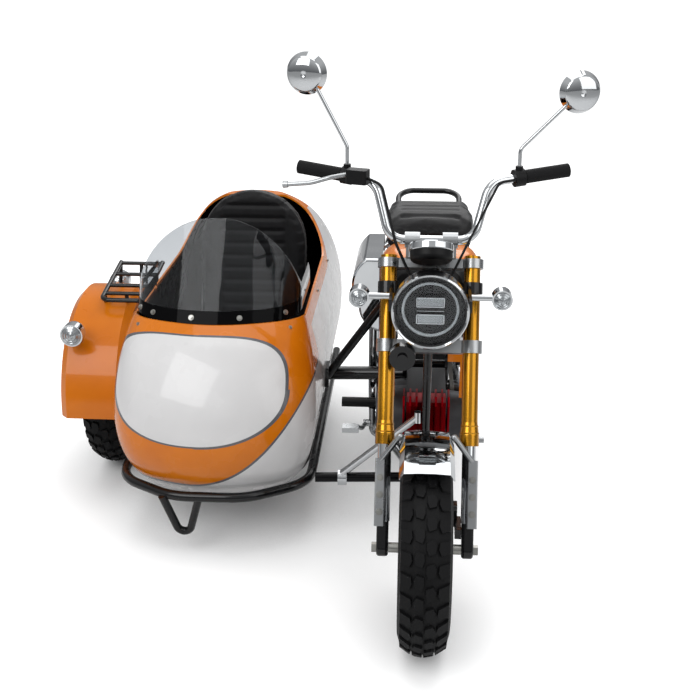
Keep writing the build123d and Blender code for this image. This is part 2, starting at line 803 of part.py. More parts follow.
# Engine: crankcase between the frame's plates with round side covers, and the finned barrel and
# head lying forwards
crank_y = 560.0
crank_z = 345.0
crankcase_half = frame_plate_half - frame_plate_wall / 2 - seat_gap
crankcase_bottom = 262.0
right_cover_depth = 82.0
left_cover_depth = 68.0
with BuildPart() as crankcase:
    with BuildSketch(across(-crankcase_half)):
        with BuildLine():
            Polyline(
                (488, 300), (520, crankcase_bottom), (690, crankcase_bottom), (757, 300), (757, 380),
                (660, 440), (520, 424), (488, 400), close=True,
            )
        make_face()
    extrude(amount=2 * crankcase_half)
    fillet(crankcase.edges().filter_by(Axis.X), 14)
    for x, y, z, radius, depth in (
        (-crankcase_half, crank_y, crank_z, 76, -right_cover_depth),
        (-crankcase_half, crank_y + 92, crank_z + 12, 48, -right_cover_depth * 0.7),
        (crankcase_half, crank_y - 8, crank_z, 68, left_cover_depth),
    ):
        with BuildSketch(across(x)):
            with Locations((y, z)):
                Circle(radius)
        extrude(amount=depth, taper=5)
finish(crankcase, "engine_crankcase")

fin_count = 8
fin_pitch = 17.0
fin_thickness = 5.0
head_front = 410.0
with BuildPart() as engine_head:
    block((-52, head_front + 12, 312), (52, 487.7, 436))
    for index in range(fin_count):
        x = (index - (fin_count - 1) / 2) * fin_pitch
        with BuildSketch(across(x - fin_thickness / 2)):
            with BuildLine():
                Polyline(
                    (head_front, 318), (head_front + 20, 300), (484, 300), (484, 449), (head_front + 22, 449),
                    (head_front, 430), close=True,
                )
            make_face()
        extrude(amount=fin_thickness)
finish(engine_head, "engine_head")

# Exhaust: a pipe from the head, under the engine, up into a high silencer on the right
pipe_radius = 15.0
silencer_front = 798.0
silencer_rear = 1085.0
silencer_inner_x = -133.0
hanger_y = 960.0
with BuildPart() as exhaust:
    with BuildSketch(Plane(origin=(silencer_inner_x, silencer_front, 0), x_dir=(1, 0, 0), z_dir=(0, 1, 0))):
        with BuildLine():
            top = Line((0, -716), (-48, -716))
            outer = ThreePointArc(top @ 1, (-85, -660), (-68, -572))
            lower = ThreePointArc(outer @ 1, (-38, -508), (0, -492))
            Line(lower @ 1, top @ 0)
        make_face()
    extrude(amount=silencer_rear - silencer_front)
    fillet(exhaust.edges().group_by(Axis.Y)[0], 8)
    fillet(exhaust.edges().group_by(Axis.Y)[-1], 8)
    tail = Vector(-171, silencer_rear, 600)
    rod(tail - Vector(0, 1, 0), tail + Vector(0, 36, 0), 17)
    rod(tail + Vector(0, 10, 0), tail + Vector(0, 37, 0), 14, mode=Mode.SUBTRACT)
    tube(
        (
            (-36, 452, 299.6), (-36, 452, 228), (-110, 660, 226), (-152, 770, 240), (-158, 862, 300),
            (-158, 880, 530),
        ),
        pipe_radius, [30, 100, 80, 60],
    )
    # Hanger up to the seat rail
    hanger_run = Vector(-0.772, 0, -0.636)
    rail_point = Vector(-seat_rail_half, hanger_y, seat_rail_height(hanger_y))
    rod(rail_point + hanger_run * (seat_rail_radius + seat_gap), rail_point + hanger_run * 80, 7)
finish(exhaust, "exhaust")

# Fuel tank over the backbone
with BuildPart() as fuel_tank:
    for y, half, low, high in (
        (425, 84, 668, 806), (480, 118, 645, 824), (600, 124, 622, 822), (696, 98, 640, 798)
    ):
        with BuildSketch(Plane(origin=(0, y, (low + high) / 2), x_dir=(1, 0, 0), z_dir=(0, -1, 0))):
            RectangleRounded(2 * half, high - low, 46)
    loft()
    with BuildSketch(Plane(origin=(0, 400, 0), x_dir=(1, 0, 0), z_dir=(0, -1, 0))):
        with BuildLine():
            Polyline((-32, 600), (32, 600), (32, 726), (-32, 726), close=True)
        make_face()
    extrude(amount=-320, mode=Mode.SUBTRACT)
    rod((0, 520, 815), (0, 520, 836), 30)
finish(fuel_tank, "fuel_tank")

# Rider's saddle, a flat-bottomed pad on the seat rails
saddle_half_width = 126.0
with BuildPart() as rider_saddle:
    with BuildSketch(across(-saddle_half_width)):
        with BuildLine():
            Polyline(
                (718, 766.5), (722, 800), (760, 842), (820, 856), (900, 853), (1000, 836), (1100, 800),
                (1100, 774.8), (930, 766.5), close=True,
            )
        make_face()
    extrude(amount=2 * saddle_half_width)
    across_saddle = rider_saddle.edges().group_by(Axis.X)
    fillet(across_saddle[0] + across_saddle[-1], 10)
finish(rider_saddle, "rider_saddle")

# The grab rail lies along the outside of the seat rails and loops round behind the saddle
grab_rail_radius = 9.0
grab_rail_half = seat_rail_half + seat_rail_radius + grab_rail_radius + seat_gap
with BuildPart() as grab_rail:
    tube(
        (
            (-grab_rail_half, 1060, seat_rail_height(1060)), (-grab_rail_half, 1130, seat_rail_height(1130)),
            (-grab_rail_half, 1262, 812), (grab_rail_half, 1262, 812),
            (grab_rail_half, 1130, seat_rail_height(1130)),
            (grab_rail_half, 1060, seat_rail_height(1060)),
        ),
        grab_rail_radius, [60, 50, 50, 60],
    )
finish(grab_rail, "grab_rail")

# Rear mudguard, and the lamps on a plate that stands on its crown, with the bar for a plate
rear_guard_half_width = 70.0
rear_guard_wall = 3.0
rear_guard_depth = 26.0
rear_mudguard = arched_guard(
    rear_axle_centre, rear_guard_radius, rear_guard_half_width, rear_guard_wall, rear_guard_depth, 28, 130
)
finish(rear_mudguard, "rear_mudguard")

lamp_post_y = 1300.0
lamp_post_wall = 6.0
tail_lamp_z = 620.0
tail_lamp_radius = 36.0
crown_z = rear_tyre_radius + sqrt(rear_guard_radius**2 - (lamp_post_y - wheelbase) ** 2)
plate_bar_y = 1392.0
plate_bar_z = 548.0
plate_bar_wall = 4.0
plate_hole_spacing = 140.0
plate_hole_radius = 3.0
with BuildPart() as rear_lamps:
    block((-20, lamp_post_y, crown_z + seat_gap), (20, lamp_post_y + lamp_post_wall, tail_lamp_z))
    rod((0, lamp_post_y, tail_lamp_z), (0, lamp_post_y + 52, tail_lamp_z), tail_lamp_radius)
    for side in (-1, 1):
        rod((side * 30, lamp_post_y + 20, tail_lamp_z), (side * 100, lamp_post_y + 20, tail_lamp_z), 7)
        indicator(Vector(side * 116, lamp_post_y + 38, tail_lamp_z), Vector(0, -1, 0), 34)
    # An arm back from the post to the bar with its two holes
    block((-15, lamp_post_y, plate_bar_z - 2), (15, plate_bar_y + plate_bar_wall, plate_bar_z + 2))
    with BuildSketch(Plane(origin=(0, plate_bar_y, plate_bar_z), x_dir=(1, 0, 0), z_dir=(0, 1, 0))):
        RectangleRounded(plate_hole_spacing + 26, 24, 8)
        with GridLocations(plate_hole_spacing, 1, 2, 1):
            Circle(plate_hole_radius, mode=Mode.SUBTRACT)
    extrude(amount=plate_bar_wall)
finish(rear_lamps, "rear_lamps")

# Swingarm, with its arms outside the chain, and the axle, spacers and shock absorbers
arm_radius = 13.0
arm_half = sprocket_x + sprocket_thickness / 2 + 8 + arm_radius
arm_outer = arm_half + arm_radius
shock_x = 108.0
shock_low = Vector(shock_x, 1080, 290)
shock_top = Vector(shock_x, shock_top_y, shock_top_z)
shock_eye_radius = 9.0
with BuildPart() as swingarm:
    for side in (-1, 1):
        pivot_start = Vector(side * (frame_plate_outer + seat_gap), pivot_y, pivot_z)
        rod(pivot_start, (side * arm_half, pivot_y, pivot_z), 22)
        rod((side * arm_half, pivot_y, pivot_z), (side * arm_half, wheelbase, rear_tyre_radius), arm_radius)
        block(
            (side * arm_half - 6, wheelbase - 30, rear_tyre_radius - 20),
            (side * arm_half + 6, wheelbase + 34, rear_tyre_radius + 20),
        )
        eye_start = Vector(side * arm_half, shock_low.Y, shock_low.Z)
        rod(eye_start, (side * 124, shock_low.Y, shock_low.Z), shock_eye_radius)
    rod((-arm_half, pivot_y + 70, pivot_z - 10), (arm_half, pivot_y + 70, pivot_z - 10), 14)
    rod((-140, wheelbase, rear_tyre_radius), (140, wheelbase, rear_tyre_radius), axle_radius + seat_gap / 2,
        mode=Mode.SUBTRACT)
finish(swingarm, "swingarm")

rear_axle_half = arm_outer + 15
with BuildPart() as rear_axle:
    axle_reach = Vector(rear_axle_half, 0, 0)
    rod(rear_axle_centre - axle_reach, rear_axle_centre + axle_reach, axle_radius)
    for side, hub_end in ((-1, hub_length / 2), (1, sprocket_x + sprocket_thickness / 2)):
        with BuildSketch(side_plane(rear_axle_centre, side * (arm_outer + seat_gap), side)):
            RegularPolygon(nut_radius, 6)
        extrude(amount=nut_length)
        axle_sleeve(rear_axle_centre, hub_end + end_gap, arm_half - arm_radius - seat_gap, side)
finish(rear_axle, "rear_axle")

spring_turns = 8
spring_pitch = 34.0
spring_radius = 20.0
with BuildPart() as rear_shocks:
    for side in (-1, 1):
        low = Vector(side * shock_low.X, shock_low.Y, shock_low.Z + shock_eye_radius + seat_gap)
        top = Vector(side * shock_top.X, shock_top.Y, shock_top.Z - 10 - seat_gap)
        along = (top - low).normalized()
        rod(low + along, top - along, 7)
        rod(low + along * 20, low + along * 76, spring_radius - 3)
        for turn in range(spring_turns):
            start = low + along * (80 + turn * spring_pitch)
            rod(start, start + along * 14, spring_radius)
finish(rear_shocks, "rear_shocks")

# Final drive: the front sprocket on its shaft and the chain round both sprockets
front_sprocket_centre = Vector(sprocket_x, 690, 330)
chain_depth = 12.0
chain_gap = 0.6


def chain_loop(extra, mode=Mode.ADD):
    """The outline round both sprockets, grown outwards by extra."""
    with BuildSketch(mode=Mode.PRIVATE) as loop:
        with BuildLine():
            front_middle = (front_sprocket_centre.Y, front_sprocket_centre.Z)
            CenterArc(front_middle, front_sprocket_radius + extra, 0, 360)
            CenterArc((wheelbase, rear_tyre_radius), rear_sprocket_radius + extra, 0, 360)
        make_hull()
    add(loop.sketch, mode=mode)


with BuildPart() as drive_chain:
    with BuildSketch(across(chain_inner_x)):
        chain_loop(chain_depth)
        chain_loop(chain_gap, mode=Mode.SUBTRACT)
    extrude(amount=chain_width)
    sprocket_face = front_sprocket_centre - Vector(sprocket_thickness / 2, 0, 0)
    rod(sprocket_face, sprocket_face + Vector(sprocket_thickness, 0, 0), front_sprocket_radius)
    rod((crankcase_half + seat_gap, front_sprocket_centre.Y, front_sprocket_centre.Z), sprocket_face, 10)
finish(drive_chain, "drive_chain")

# Footpegs on a bar under the crankcase, brake pedal and gear lever
peg_bar_radius = 9.0
peg_bar_z = crankcase_bottom - seat_gap - peg_bar_radius
peg_bar_half = 150.0
left_bar_x = 132.0
pedal_radius = 6.0
peg_y = 600.0
peg_z = 354.0
with BuildPart() as foot_controls:
    tube(
        (
            (-peg_bar_half, peg_y, peg_z), (-peg_bar_half, peg_y, peg_bar_z),
            (left_bar_x, peg_y, peg_bar_z), (left_bar_x, peg_y, peg_z),
        ),
        peg_bar_radius, [24, 24],
    )
    rod((peg_bar_radius - peg_bar_half, peg_y, peg_z), (-236, peg_y, peg_z), 14)
    # The left peg is folded up and back
    rod((left_bar_x + 4, peg_y, peg_z), (left_bar_x + 4, peg_y + 50, peg_z + 72), 12)
    # Brake pedal from a boss on the bar's right end
    pedal_pivot = Vector(-peg_bar_half - peg_bar_radius, peg_y, 290)
    rod(pedal_pivot + Vector(4, 0, 0), pedal_pivot - Vector(16, 0, 0), 10)
    tube(
        (
            pedal_pivot - Vector(10, 0, 0), Vector(-176, 540, 300), Vector(-194, 470, 342),
            Vector(-200, 425, 358),
        ),
        pedal_radius, [60, 80],
    )
    block((-222, 400, 352), (-178, 428, 366))
    # Gear lever on the left cover's face
    gear_shaft_x = crankcase_half + left_cover_depth
    gear_shaft_start = Vector(gear_shaft_x + seat_gap, 570, 305)
    tube((gear_shaft_start, Vector(138, 570, 305), Vector(140, 450, 318)), pedal_radius, [9])
    rod((134, 450, 318), (158, 450, 318), 8)
finish(foot_controls, "foot_controls")


# Sidecar body. Each level is a plan outline: a flat nose arc, two corner arcs and a rounded tail
def plan_outline(height, half_width, nose_y, tail_y):
    nose_radius, cheek_radius = half_width * nose_roundness, half_width * cheek_roundness
    turn = degrees(asin((half_width - cheek_radius) / (nose_radius - cheek_radius)))
    with BuildSketch(Plane.XY.offset(height)) as outline:
        with BuildLine():
            nose = JernArc((0, nose_y), (1, 0), nose_radius, turn)
            cheek = JernArc(nose @ 1, nose % 1, cheek_radius, 90 - turn)
            stern = JernArc((0, tail_y), (1, 0), nose_radius, -turn)
            quarter = JernArc(stern @ 1, stern % 1, cheek_radius, turn - 90)
            Line(cheek @ 1, quarter @ 1)
            mirror(about=Plane.YZ)
        make_face()
    return outline.sketch.moved(Location((body_x, 0, 0)))


def hull(inset):
    """The body's form, drawn in all round by inset."""
    with BuildPart() as form:
        for height, half_width, nose_y, tail_y in hull_sections:
            if height == hull_sections[-1][0]:
                lift = -inset
            else:
                lift = inset if height < 150 else 0
            add(plan_outline(height + lift, half_width - inset, nose_y + inset, tail_y - inset))
        loft()
    return form


outer_hull = hull(0)
inner_hull = hull(body_wall)
clear_hull = hull(-seat_gap)    # what seats on the body is cut back to this

hump_front_y = shoulder_y + 14
shoulder_z = 720.0
cut_top = 900.0
with BuildPart() as sidecar_body:
    add(outer_hull.part)
    add(inner_hull.part, mode=Mode.SUBTRACT)
    # The rim: level along the sides, a little higher at the nose, and swept up to the hump
    with BuildSketch(across(body_x - 400)):
        with BuildLine():
            front = Line((100, rim_front_height), (480, rim_front_height))
            dip = TangentArc(front @ 1, (620, rim_side_height + 4), tangent=(1, -0.05))
            side_line = Line(dip @ 1, (1170, rim_side_height + 6))
            sweep_up = TangentArc(side_line @ 1, (shoulder_y, shoulder_z), tangent=side_line % 1)
            Line(sweep_up @ 1, (hump_front_y, cut_top))
            Line((hump_front_y, cut_top), (100, cut_top))
            Line((100, cut_top), (100, rim_front_height))
        make_face()
    extrude(amount=800, mode=Mode.SUBTRACT)
finish(sidecar_body, "sidecar_body")

# Windscreen: the rim's outline at the nose, drawn up along the rake and cut to a dome
screen_direction = Vector(0, sin(radians(screen_rake)), cos(radians(screen_rake)))
screen_foot_z = rim_front_height + seat_gap
screen_foot_half, screen_foot_y, screen_foot_tail = 228.0, 464.0, 1590.0
screen_outline = plan_outline(
    screen_foot_z, screen_foot_half, screen_foot_y, screen_foot_tail
) - plan_outline(
    screen_foot_z, screen_foot_half - screen_wall, screen_foot_y + screen_wall, screen_foot_tail
)
with BuildPart() as windscreen:
    extrude(to_extrude=screen_outline, amount=screen_height + 40, dir=screen_direction)
    with BuildSketch(Plane(origin=(body_x, 300, screen_foot_z), x_dir=(1, 0, 0), z_dir=(0, -1, 0))):
        Ellipse(screen_half_width, screen_height)
    extrude(amount=-540, mode=Mode.INTERSECT)
finish(windscreen, "windscreen")

# Seat: a cushion on a bench and a tall backrest whose rear face leans on the hump's edge
floor_z = hull_sections[0][0] + body_wall + seat_gap
bench_top = 250.0
cushion_front, cushion_rear = 840.0, 1215.0
cushion_top = 350.0
seat_half_width = 190.0
with BuildPart() as sidecar_bench:
    with BuildSketch(Plane(origin=(body_x, 880, 0), x_dir=(1, 0, 0), z_dir=(0, -1, 0))):
        with BuildLine():
            Polyline(
                (-112, floor_z), (112, floor_z), (170, 136), (170, bench_top), (-170, bench_top), (-170, 136),
                close=True,
            )
        make_face()
    extrude(amount=-390)
finish(sidecar_bench, "sidecar_bench")

with BuildPart() as sidecar_cushion:
    block(
        (body_x - seat_half_width, cushion_front, bench_top + seat_gap),
        (body_x + seat_half_width, cushion_rear, cushion_top),
    )
    fillet(sidecar_cushion.edges().filter_by(Axis.Z), 40)
finish(sidecar_cushion, "sidecar_cushion")

backrest_top = 806.0
backrest_lean = 0.17        # backwards over upwards
backrest_thickness = 66.0
backrest_base = cushion_top + seat_gap
hump_top = hull_sections[-1][0]
hump_edge_y = shoulder_y + (hump_front_y - shoulder_y) * (hump_top - shoulder_z) / (cut_top - shoulder_z)
backrest_y = hump_edge_y - seat_gap - backrest_lean * (hump_top - backrest_base)
backrest_low = Vector(body_x, backrest_y, backrest_base)
backrest_run = Vector(0, backrest_lean, 1) * (backrest_top - backrest_base)
backrest_face = Vector(0, 1, -backrest_lean)
with BuildPart() as sidecar_backrest:
    with BuildSketch(Plane(origin=backrest_low, x_dir=(1, 0, 0), z_dir=backrest_face)):
        with BuildLine():
            length = backrest_run.length
            arch_start = -length * 0.58
            base = Line((-seat_half_width, 0), (seat_half_width, 0))
            right = Line(base @ 1, (seat_half_width, arch_start))
            top = ThreePointArc(right @ 1, (0, -length), (-seat_half_width, arch_start))
            Line(top @ 1, base @ 0)
        make_face()
    extrude(amount=-backrest_thickness)
    block((body_x - 300, 1000, backrest_base - 60), (body_x + 300, 1400, backrest_base), mode=Mode.SUBTRACT)
finish(sidecar_backrest, "sidecar_backrest")

# Chassis: side rails joined by hoops under the belly, and the bumper round the nose
left_rail_x = body_x - rail_half_spacing
right_rail_x = body_x + rail_half_spacing
rail_start_y = 560.0
hoop_radius = 11.0
hoop_z = hull_sections[0][0] - seat_gap - hoop_radius
with BuildPart() as sidecar_chassis:
    tube(
        (
            (right_rail_x, rail_start_y, rail_height), (right_rail_x, 418, rail_height),
            (body_x + 100, rail_front_y, rail_height), (body_x - 100, rail_front_y, rail_height),
            (left_rail_x, 418, rail_height), (left_rail_x, rail_start_y, rail_height),
        ),
        rail_radius, [120, 180, 180, 120],
    )
    tube(
        (
            (body_x - 125, rail_front_y, rail_height), (body_x - 90, rail_front_y + 25, 70),
            (body_x - 60, rail_front_y + 25, 70), (body_x - 25, rail_front_y, rail_height),
        ),
        hoop_radius, [22, 22],
    )
    for x in (left_rail_x, right_rail_x):
        rod((x, rail_start_y, rail_height), (x, rail_rear_y, rail_height), rail_radius)
    for y in (700, 1050, rail_rear_y - 20):
        tube(
            (
                (left_rail_x, y, rail_height), (left_rail_x + 60, y, hoop_z),
                (right_rail_x - 60, y, hoop_z), (right_rail_x, y, rail_height),
            ),
            hoop_radius, [40, 40],
        )
finish(sidecar_chassis, "sidecar_chassis")

# Lower struts: the tube across from the rail to the subframe, a clamp on it, and the turnbuckle
# that rises from the clamp to an eye beside the down tube
strut_clamp_x = -224.0
turnbuckle_radius = 10.0
lower_start = Vector(right_rail_x + rail_radius + 2 * seat_gap, 435, 198)
lower_end = Vector(-down_tube_radius - 2 * seat_gap, 450, under_rail_z)
lower_run = lower_end - lower_start
clamp_at = lower_start + lower_run * ((strut_clamp_x - lower_start.X) / lower_run.X)
eye_z = 415.0
eye_y = down_tube_bend.Y + (down_tube_bend.Z - eye_z) * (down_tube_low.Y - down_tube_bend.Y) / (
    down_tube_bend.Z - down_tube_low.Z
)
upper_eye = Vector(-down_tube_radius - turnbuckle_radius - seat_gap, eye_y, eye_z)
with BuildPart() as lower_struts:
    rod(lower_start, lower_end, rail_radius)
    rod(clamp_at - Vector(12, 0, 0), clamp_at + Vector(12, 0, 0), rail_radius + 8)
    rod(clamp_at + Vector(0, -4, 14), upper_eye, turnbuckle_radius)
    rod(upper_eye - Vector(0, 0, 15), upper_eye + Vector(0, 0, 15), turnbuckle_radius)
finish(lower_struts, "lower_struts")

# Upper struts: a bracket on the body's side, a thick tube to the pivot plate, and a thinner one
# that climbs to the frame under the saddle
upper_start = Vector(-296, 815, 352)
upper_end = Vector(-frame_plate_outer - 3, 790, 368)
climb_start = Vector(-292, 800, 352)
climb_end = Vector(-94, 715, 655)
with BuildPart() as upper_struts:
    rod(upper_start, upper_end, 20)
    rod(climb_start, climb_end, 13)
    block((-96, 702, 640), (-76, 728, 668))
    block((-310, 776, 322), (-288, 838, 382))
    add(clear_hull.part, mode=Mode.SUBTRACT)
finish(upper_struts, "upper_struts")

# Sidecar wheel carrier: an upright on the left rail and the stub axle
upright_wall = 16.0
upright_x = left_rail_x - rail_radius - seat_gap - upright_wall
with BuildPart() as sidecar_axle:
    stub_end = sidecar_axle_centre - Vector(hub_length / 2 + 14, 0, 0)
    rod(stub_end, sidecar_axle_centre + Vector(upright_x - sidecar_wheel_x + 4, 0, 0), axle_radius)
    axle_sleeve(sidecar_axle_centre, hub_length / 2 + end_gap, upright_x - sidecar_wheel_x + 2, 1)
    with BuildSketch(side_plane(sidecar_axle_centre, sidecar_wheel_x - hub_length / 2 - end_gap, -1)):
        RegularPolygon(nut_radius, 6)
    extrude(amount=nut_length)
    block((upright_x, 910, rail_height - 20), (upright_x + upright_wall, 970, 275))
finish(sidecar_axle, "sidecar_axle")

# Sidecar mudguard with its brackets on the body
guard_centre = Vector(sidecar_wheel_x, sidecar_wheel_y, 262)
guard_radius = 305.0
guard_half_width = 94.0
guard_wall = 3.0
guard_skirt = 90.0
guard_crease = 20.0
with BuildPart() as sidecar_mudguard:
    half, inner = guard_half_width, guard_half_width - guard_wall
    skirt, crease = guard_radius - guard_skirt, guard_radius - guard_crease
    crown = half - guard_crease
    with BuildSketch(Plane(origin=guard_centre, x_dir=(1, 0, 0), z_dir=(0, 0, -1))):
        with BuildLine():
            Polyline(
                (-half, skirt), (-half, crease), (-crown, guard_radius), (crown, guard_radius),
                (half, crease), (half, skirt), (inner, skirt), (inner, crease - 1),
                (crown - 1, guard_radius - guard_wall), (1 - crown, guard_radius - guard_wall),
                (-inner, crease - 1), (-inner, skirt), close=True,
            )
        make_face()
    revolve(axis=Axis(guard_centre, (1, 0, 0)), revolution_arc=-172)
    for y in (780, 1100):
        block((sidecar_wheel_x + inner, y - 20, 462), (body_x - 200, y + 20, 468))
    add(clear_hull.part, mode=Mode.SUBTRACT)
finish(sidecar_mudguard, "sidecar_mudguard")


def on_guard(x, y_offset, lift):
    """A point above the mudguard's crown, square to it, from the place y_offset behind its centre."""
    radial = Vector(0, y_offset, sqrt(guard_radius**2 - y_offset**2)).normalized()
    return Vector(x, guard_centre.Y, guard_centre.Z) + radial * (guard_radius + lift)


# Sidecar lamps: bullets on bosses that stand on the mudguard's crown
sidecar_lamp_radius = 33.0
lamp_lift = 49.0
sidecar_lamp_table = (
    # x, place along the crown, which way the lens faces
    (-1021, -216, -1),
    (-1021, 222, 1),
)
with BuildPart() as sidecar_lamps:
    for x, y_offset, facing in sidecar_lamp_table:
        centre = on_guard(x, y_offset, lamp_lift)
        rod(on_guard(x, y_offset, 2 * seat_gap), centre, 15)
        rod(centre, centre + Vector(0, facing * 30, 0), sidecar_lamp_radius)
        with Locations(centre):
            Sphere(sidecar_lamp_radius)
finish(sidecar_lamps, "sidecar_lamps")

# Luggage rack over the mudguard: a frame of tube with crossbars, on legs
rack_radius = 7.0
rack_left_x, rack_right_x = -967.0, -836.0
rack_front_y, rack_rear_y = 800.0, 1050.0
rack_front_z, rack_rear_z = 575.0, 618.0


def on_rack(x, y):
    """A point in the rack's plane."""
    share = (y - rack_front_y) / (rack_rear_y - rack_front_y)
    return Vector(x, y, rack_front_z + share * (rack_rear_z - rack_front_z))


with BuildPart() as luggage_rack:
    tube(
        (
            on_rack(rack_left_x, rack_rear_y), on_rack(rack_left_x, rack_front_y),
            on_rack(rack_right_x, rack_front_y), on_rack(rack_right_x, rack_rear_y),
        ),
        rack_radius, [24, 24],
    )
    for y in (842, 893, 967, 1042):
        rod(on_rack(rack_left_x, y), on_rack(rack_right_x, y), rack_radius - 1)
    for x in (rack_left_x, rack_left_x + 66):
        rod(on_guard(x, -90, 2 * seat_gap), on_guard(x, -90, 29), rack_radius - 1)
        rod(on_guard(x, 85, 2 * seat_gap), on_guard(x, 85, 63), rack_radius - 1)
finish(luggage_rack, "luggage_rack")

# Cables from the hand controls, down in front of the handlebar into the back of the headlamp
lamp_back_y = headlamp_centre.Y + headlamp_depth + 3
bar_inwards = Vector(-bar_direction.X, bar_direction.Y, bar_direction.Z) * -1
left_exit = on_bar(housing_end + seat_gap, 1) + Vector(5, -15.7, 0)
right_exit = master_centre - bar_direction * 26.3
cable_table = (
    # side, radius of the cable, where it starts, its first bend, radius of that bend
    (-1, 3.5, right_exit, Vector(-120, 306, 1045), 30),
    (1, 3.0, left_exit, left_exit + bar_inwards * 42, 30),
)
with BuildPart() as control_cables:
    for side, radius, start, first_bend, first_radius in cable_table:
        tube(
            (
                start, first_bend, Vector(side * 84, 250, 920), Vector(side * 44, 226, 838),
                Vector(side * 26, lamp_back_y, headlamp_centre.Z + 12),
            ),
            radius, [first_radius, 60, 25],
        )
finish(control_cables, "control_cables")

to_origin = Compound(children=[Part(piece.wrapped) for piece in pieces]).bounding_box()
shift = Location((-to_origin.center().X, -to_origin.center().Y, -to_origin.min.Z))

os.makedirs("parts", exist_ok=True)
for piece in pieces:
    export_step(piece.moved(shift), f"parts/{piece.label}.step")
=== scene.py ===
from math import cos, pi, radians, sin

import bmesh
import bpy
from mathutils import Matrix, Vector
from mathutils.bvhtree import BVHTree


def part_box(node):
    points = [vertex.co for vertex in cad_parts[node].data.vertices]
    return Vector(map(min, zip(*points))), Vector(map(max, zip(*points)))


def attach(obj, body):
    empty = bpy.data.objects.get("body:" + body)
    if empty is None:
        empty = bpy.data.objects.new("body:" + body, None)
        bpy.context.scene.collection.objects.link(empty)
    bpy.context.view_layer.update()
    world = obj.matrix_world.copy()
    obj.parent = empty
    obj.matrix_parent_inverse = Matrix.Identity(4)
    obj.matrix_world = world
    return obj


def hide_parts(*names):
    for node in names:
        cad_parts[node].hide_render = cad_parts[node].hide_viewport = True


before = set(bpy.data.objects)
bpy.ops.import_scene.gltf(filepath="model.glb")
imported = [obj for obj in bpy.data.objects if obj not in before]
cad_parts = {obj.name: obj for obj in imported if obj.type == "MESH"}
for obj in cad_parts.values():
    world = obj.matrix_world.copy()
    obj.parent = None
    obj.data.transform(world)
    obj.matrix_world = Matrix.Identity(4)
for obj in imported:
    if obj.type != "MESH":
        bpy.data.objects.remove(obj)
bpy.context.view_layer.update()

# The front wheel's centre stands over the layout's zero, and layout points are in metres from there
axle_low, axle_high = (Vector(corner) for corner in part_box("front_axle"))
wheel_low, wheel_high = (Vector(corner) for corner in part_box("front_tyre"))
ORIGIN = Vector(((axle_low.x + axle_high.x) / 2, (wheel_low.y + wheel_high.y) / 2, 0))


def at(x, y, z):
    """A layout point in the frame's own place."""
    return ORIGIN + Vector((x, y, z))


# Camera, at the height and place the photograph was taken from
CAMERA_PLACE = at(-0.0332, -2.2595, 1.6242)
CAMERA_YAW = 0.0629
CAMERA_DOWN = 0.3705
CAMERA_FOCAL = 1104.28 / 700        # of the picture's width
camera_data = bpy.data.cameras.new("camera")
camera_data.sensor_width = 36
camera_data.lens = CAMERA_FOCAL * camera_data.sensor_width
camera = bpy.data.objects.new("camera", camera_data)
camera.location = CAMERA_PLACE
camera.rotation_euler = (pi / 2 - CAMERA_DOWN, 0, CAMERA_YAW)
bpy.context.collection.objects.link(camera)
bpy.context.scene.camera = camera
bpy.context.scene.view_settings.view_transform = "Standard"


# Materials

def linear(code):
    """An sRGB hex colour as linear red, green, blue and alpha."""
    parts = [int(code[i:i + 2], 16) / 255 for i in (0, 2, 4)]
    return tuple(c / 12.92 if c <= 0.04045 else ((c + 0.055) / 1.055) ** 2.4 for c in parts) + (1.0,)


def add_node(tree, kind, settings=None, **inputs):
    """Adds a node with its settings; an input is a value or a socket, by name or as i and its number."""
    made = tree.nodes.new(kind)
    for key, value in (settings or {}).items():
        setattr(made, key, value)
    for key, value in inputs.items():
        numbered = key[0] == "i" and key[1:].isdigit()
        socket = made.inputs[int(key[1:])] if numbered else made.inputs[key.replace("_", " ")]
        if isinstance(value, bpy.types.NodeSocket):
            tree.links.new(value, socket)
        else:
            socket.default_value = value
    return made


# Under a coat, or on rubber and leather, the base itself reflects little of a white studio
BASE_SPECULAR = 0.16
COAT_ROUGHNESS = 0.04
BUMP_STRENGTH = 0.5
DRIFT_SCALE = 9.0                   # of the broad drift in colour and gloss, in patches a metre
DRIFT_LOW, DRIFT_HIGH = 0.3, 0.7    # the part of the noise's range that is spread over the roughness
ORANGE_DEEP, ORANGE_BRIGHT = "BE6204", "D77806"
SOFT_BLACK = "0B0B0C"


def new_surface(name):
    """A material with its shader and a vector of object coordinates."""
    material = bpy.data.materials.new(name)
    material.use_nodes = True
    tree = material.node_tree
    shader = tree.nodes["Principled BSDF"]
    shader.inputs["Specular IOR Level"].default_value = BASE_SPECULAR
    place = add_node(tree, "ShaderNodeTexCoord").outputs["Object"]
    return material, tree, shader, place


def surface_detail(tree, shader, place, grain_mm, depth_mm, rough, rough_spread, stretch=(1, 1, 1)):
    """Small unevenness in height and roughness, at a real grain size; gives back the broad drift."""
    mapped = add_node(tree, "ShaderNodeMapping", Vector=place, Scale=stretch).outputs[0]
    fine = add_node(
        tree, "ShaderNodeTexNoise", Vector=mapped, Scale=1000 / grain_mm, Detail=4.0
    ).outputs["Fac"]
    broad = add_node(tree, "ShaderNodeTexNoise", Vector=place, Scale=DRIFT_SCALE, Detail=3.0).outputs["Fac"]
    spread = add_node(
        tree, "ShaderNodeMapRange", Value=broad, From_Min=DRIFT_LOW, From_Max=DRIFT_HIGH,
        To_Min=rough - rough_spread, To_Max=rough + rough_spread,
    ).outputs[0]
    tree.links.new(spread, shader.inputs["Roughness"])
    bump = add_node(
        tree, "ShaderNodeBump", Strength=BUMP_STRENGTH, Distance=depth_mm / 1000, Height=fine
    ).outputs[0]
    tree.links.new(bump, shader.inputs["Normal"])
    return broad


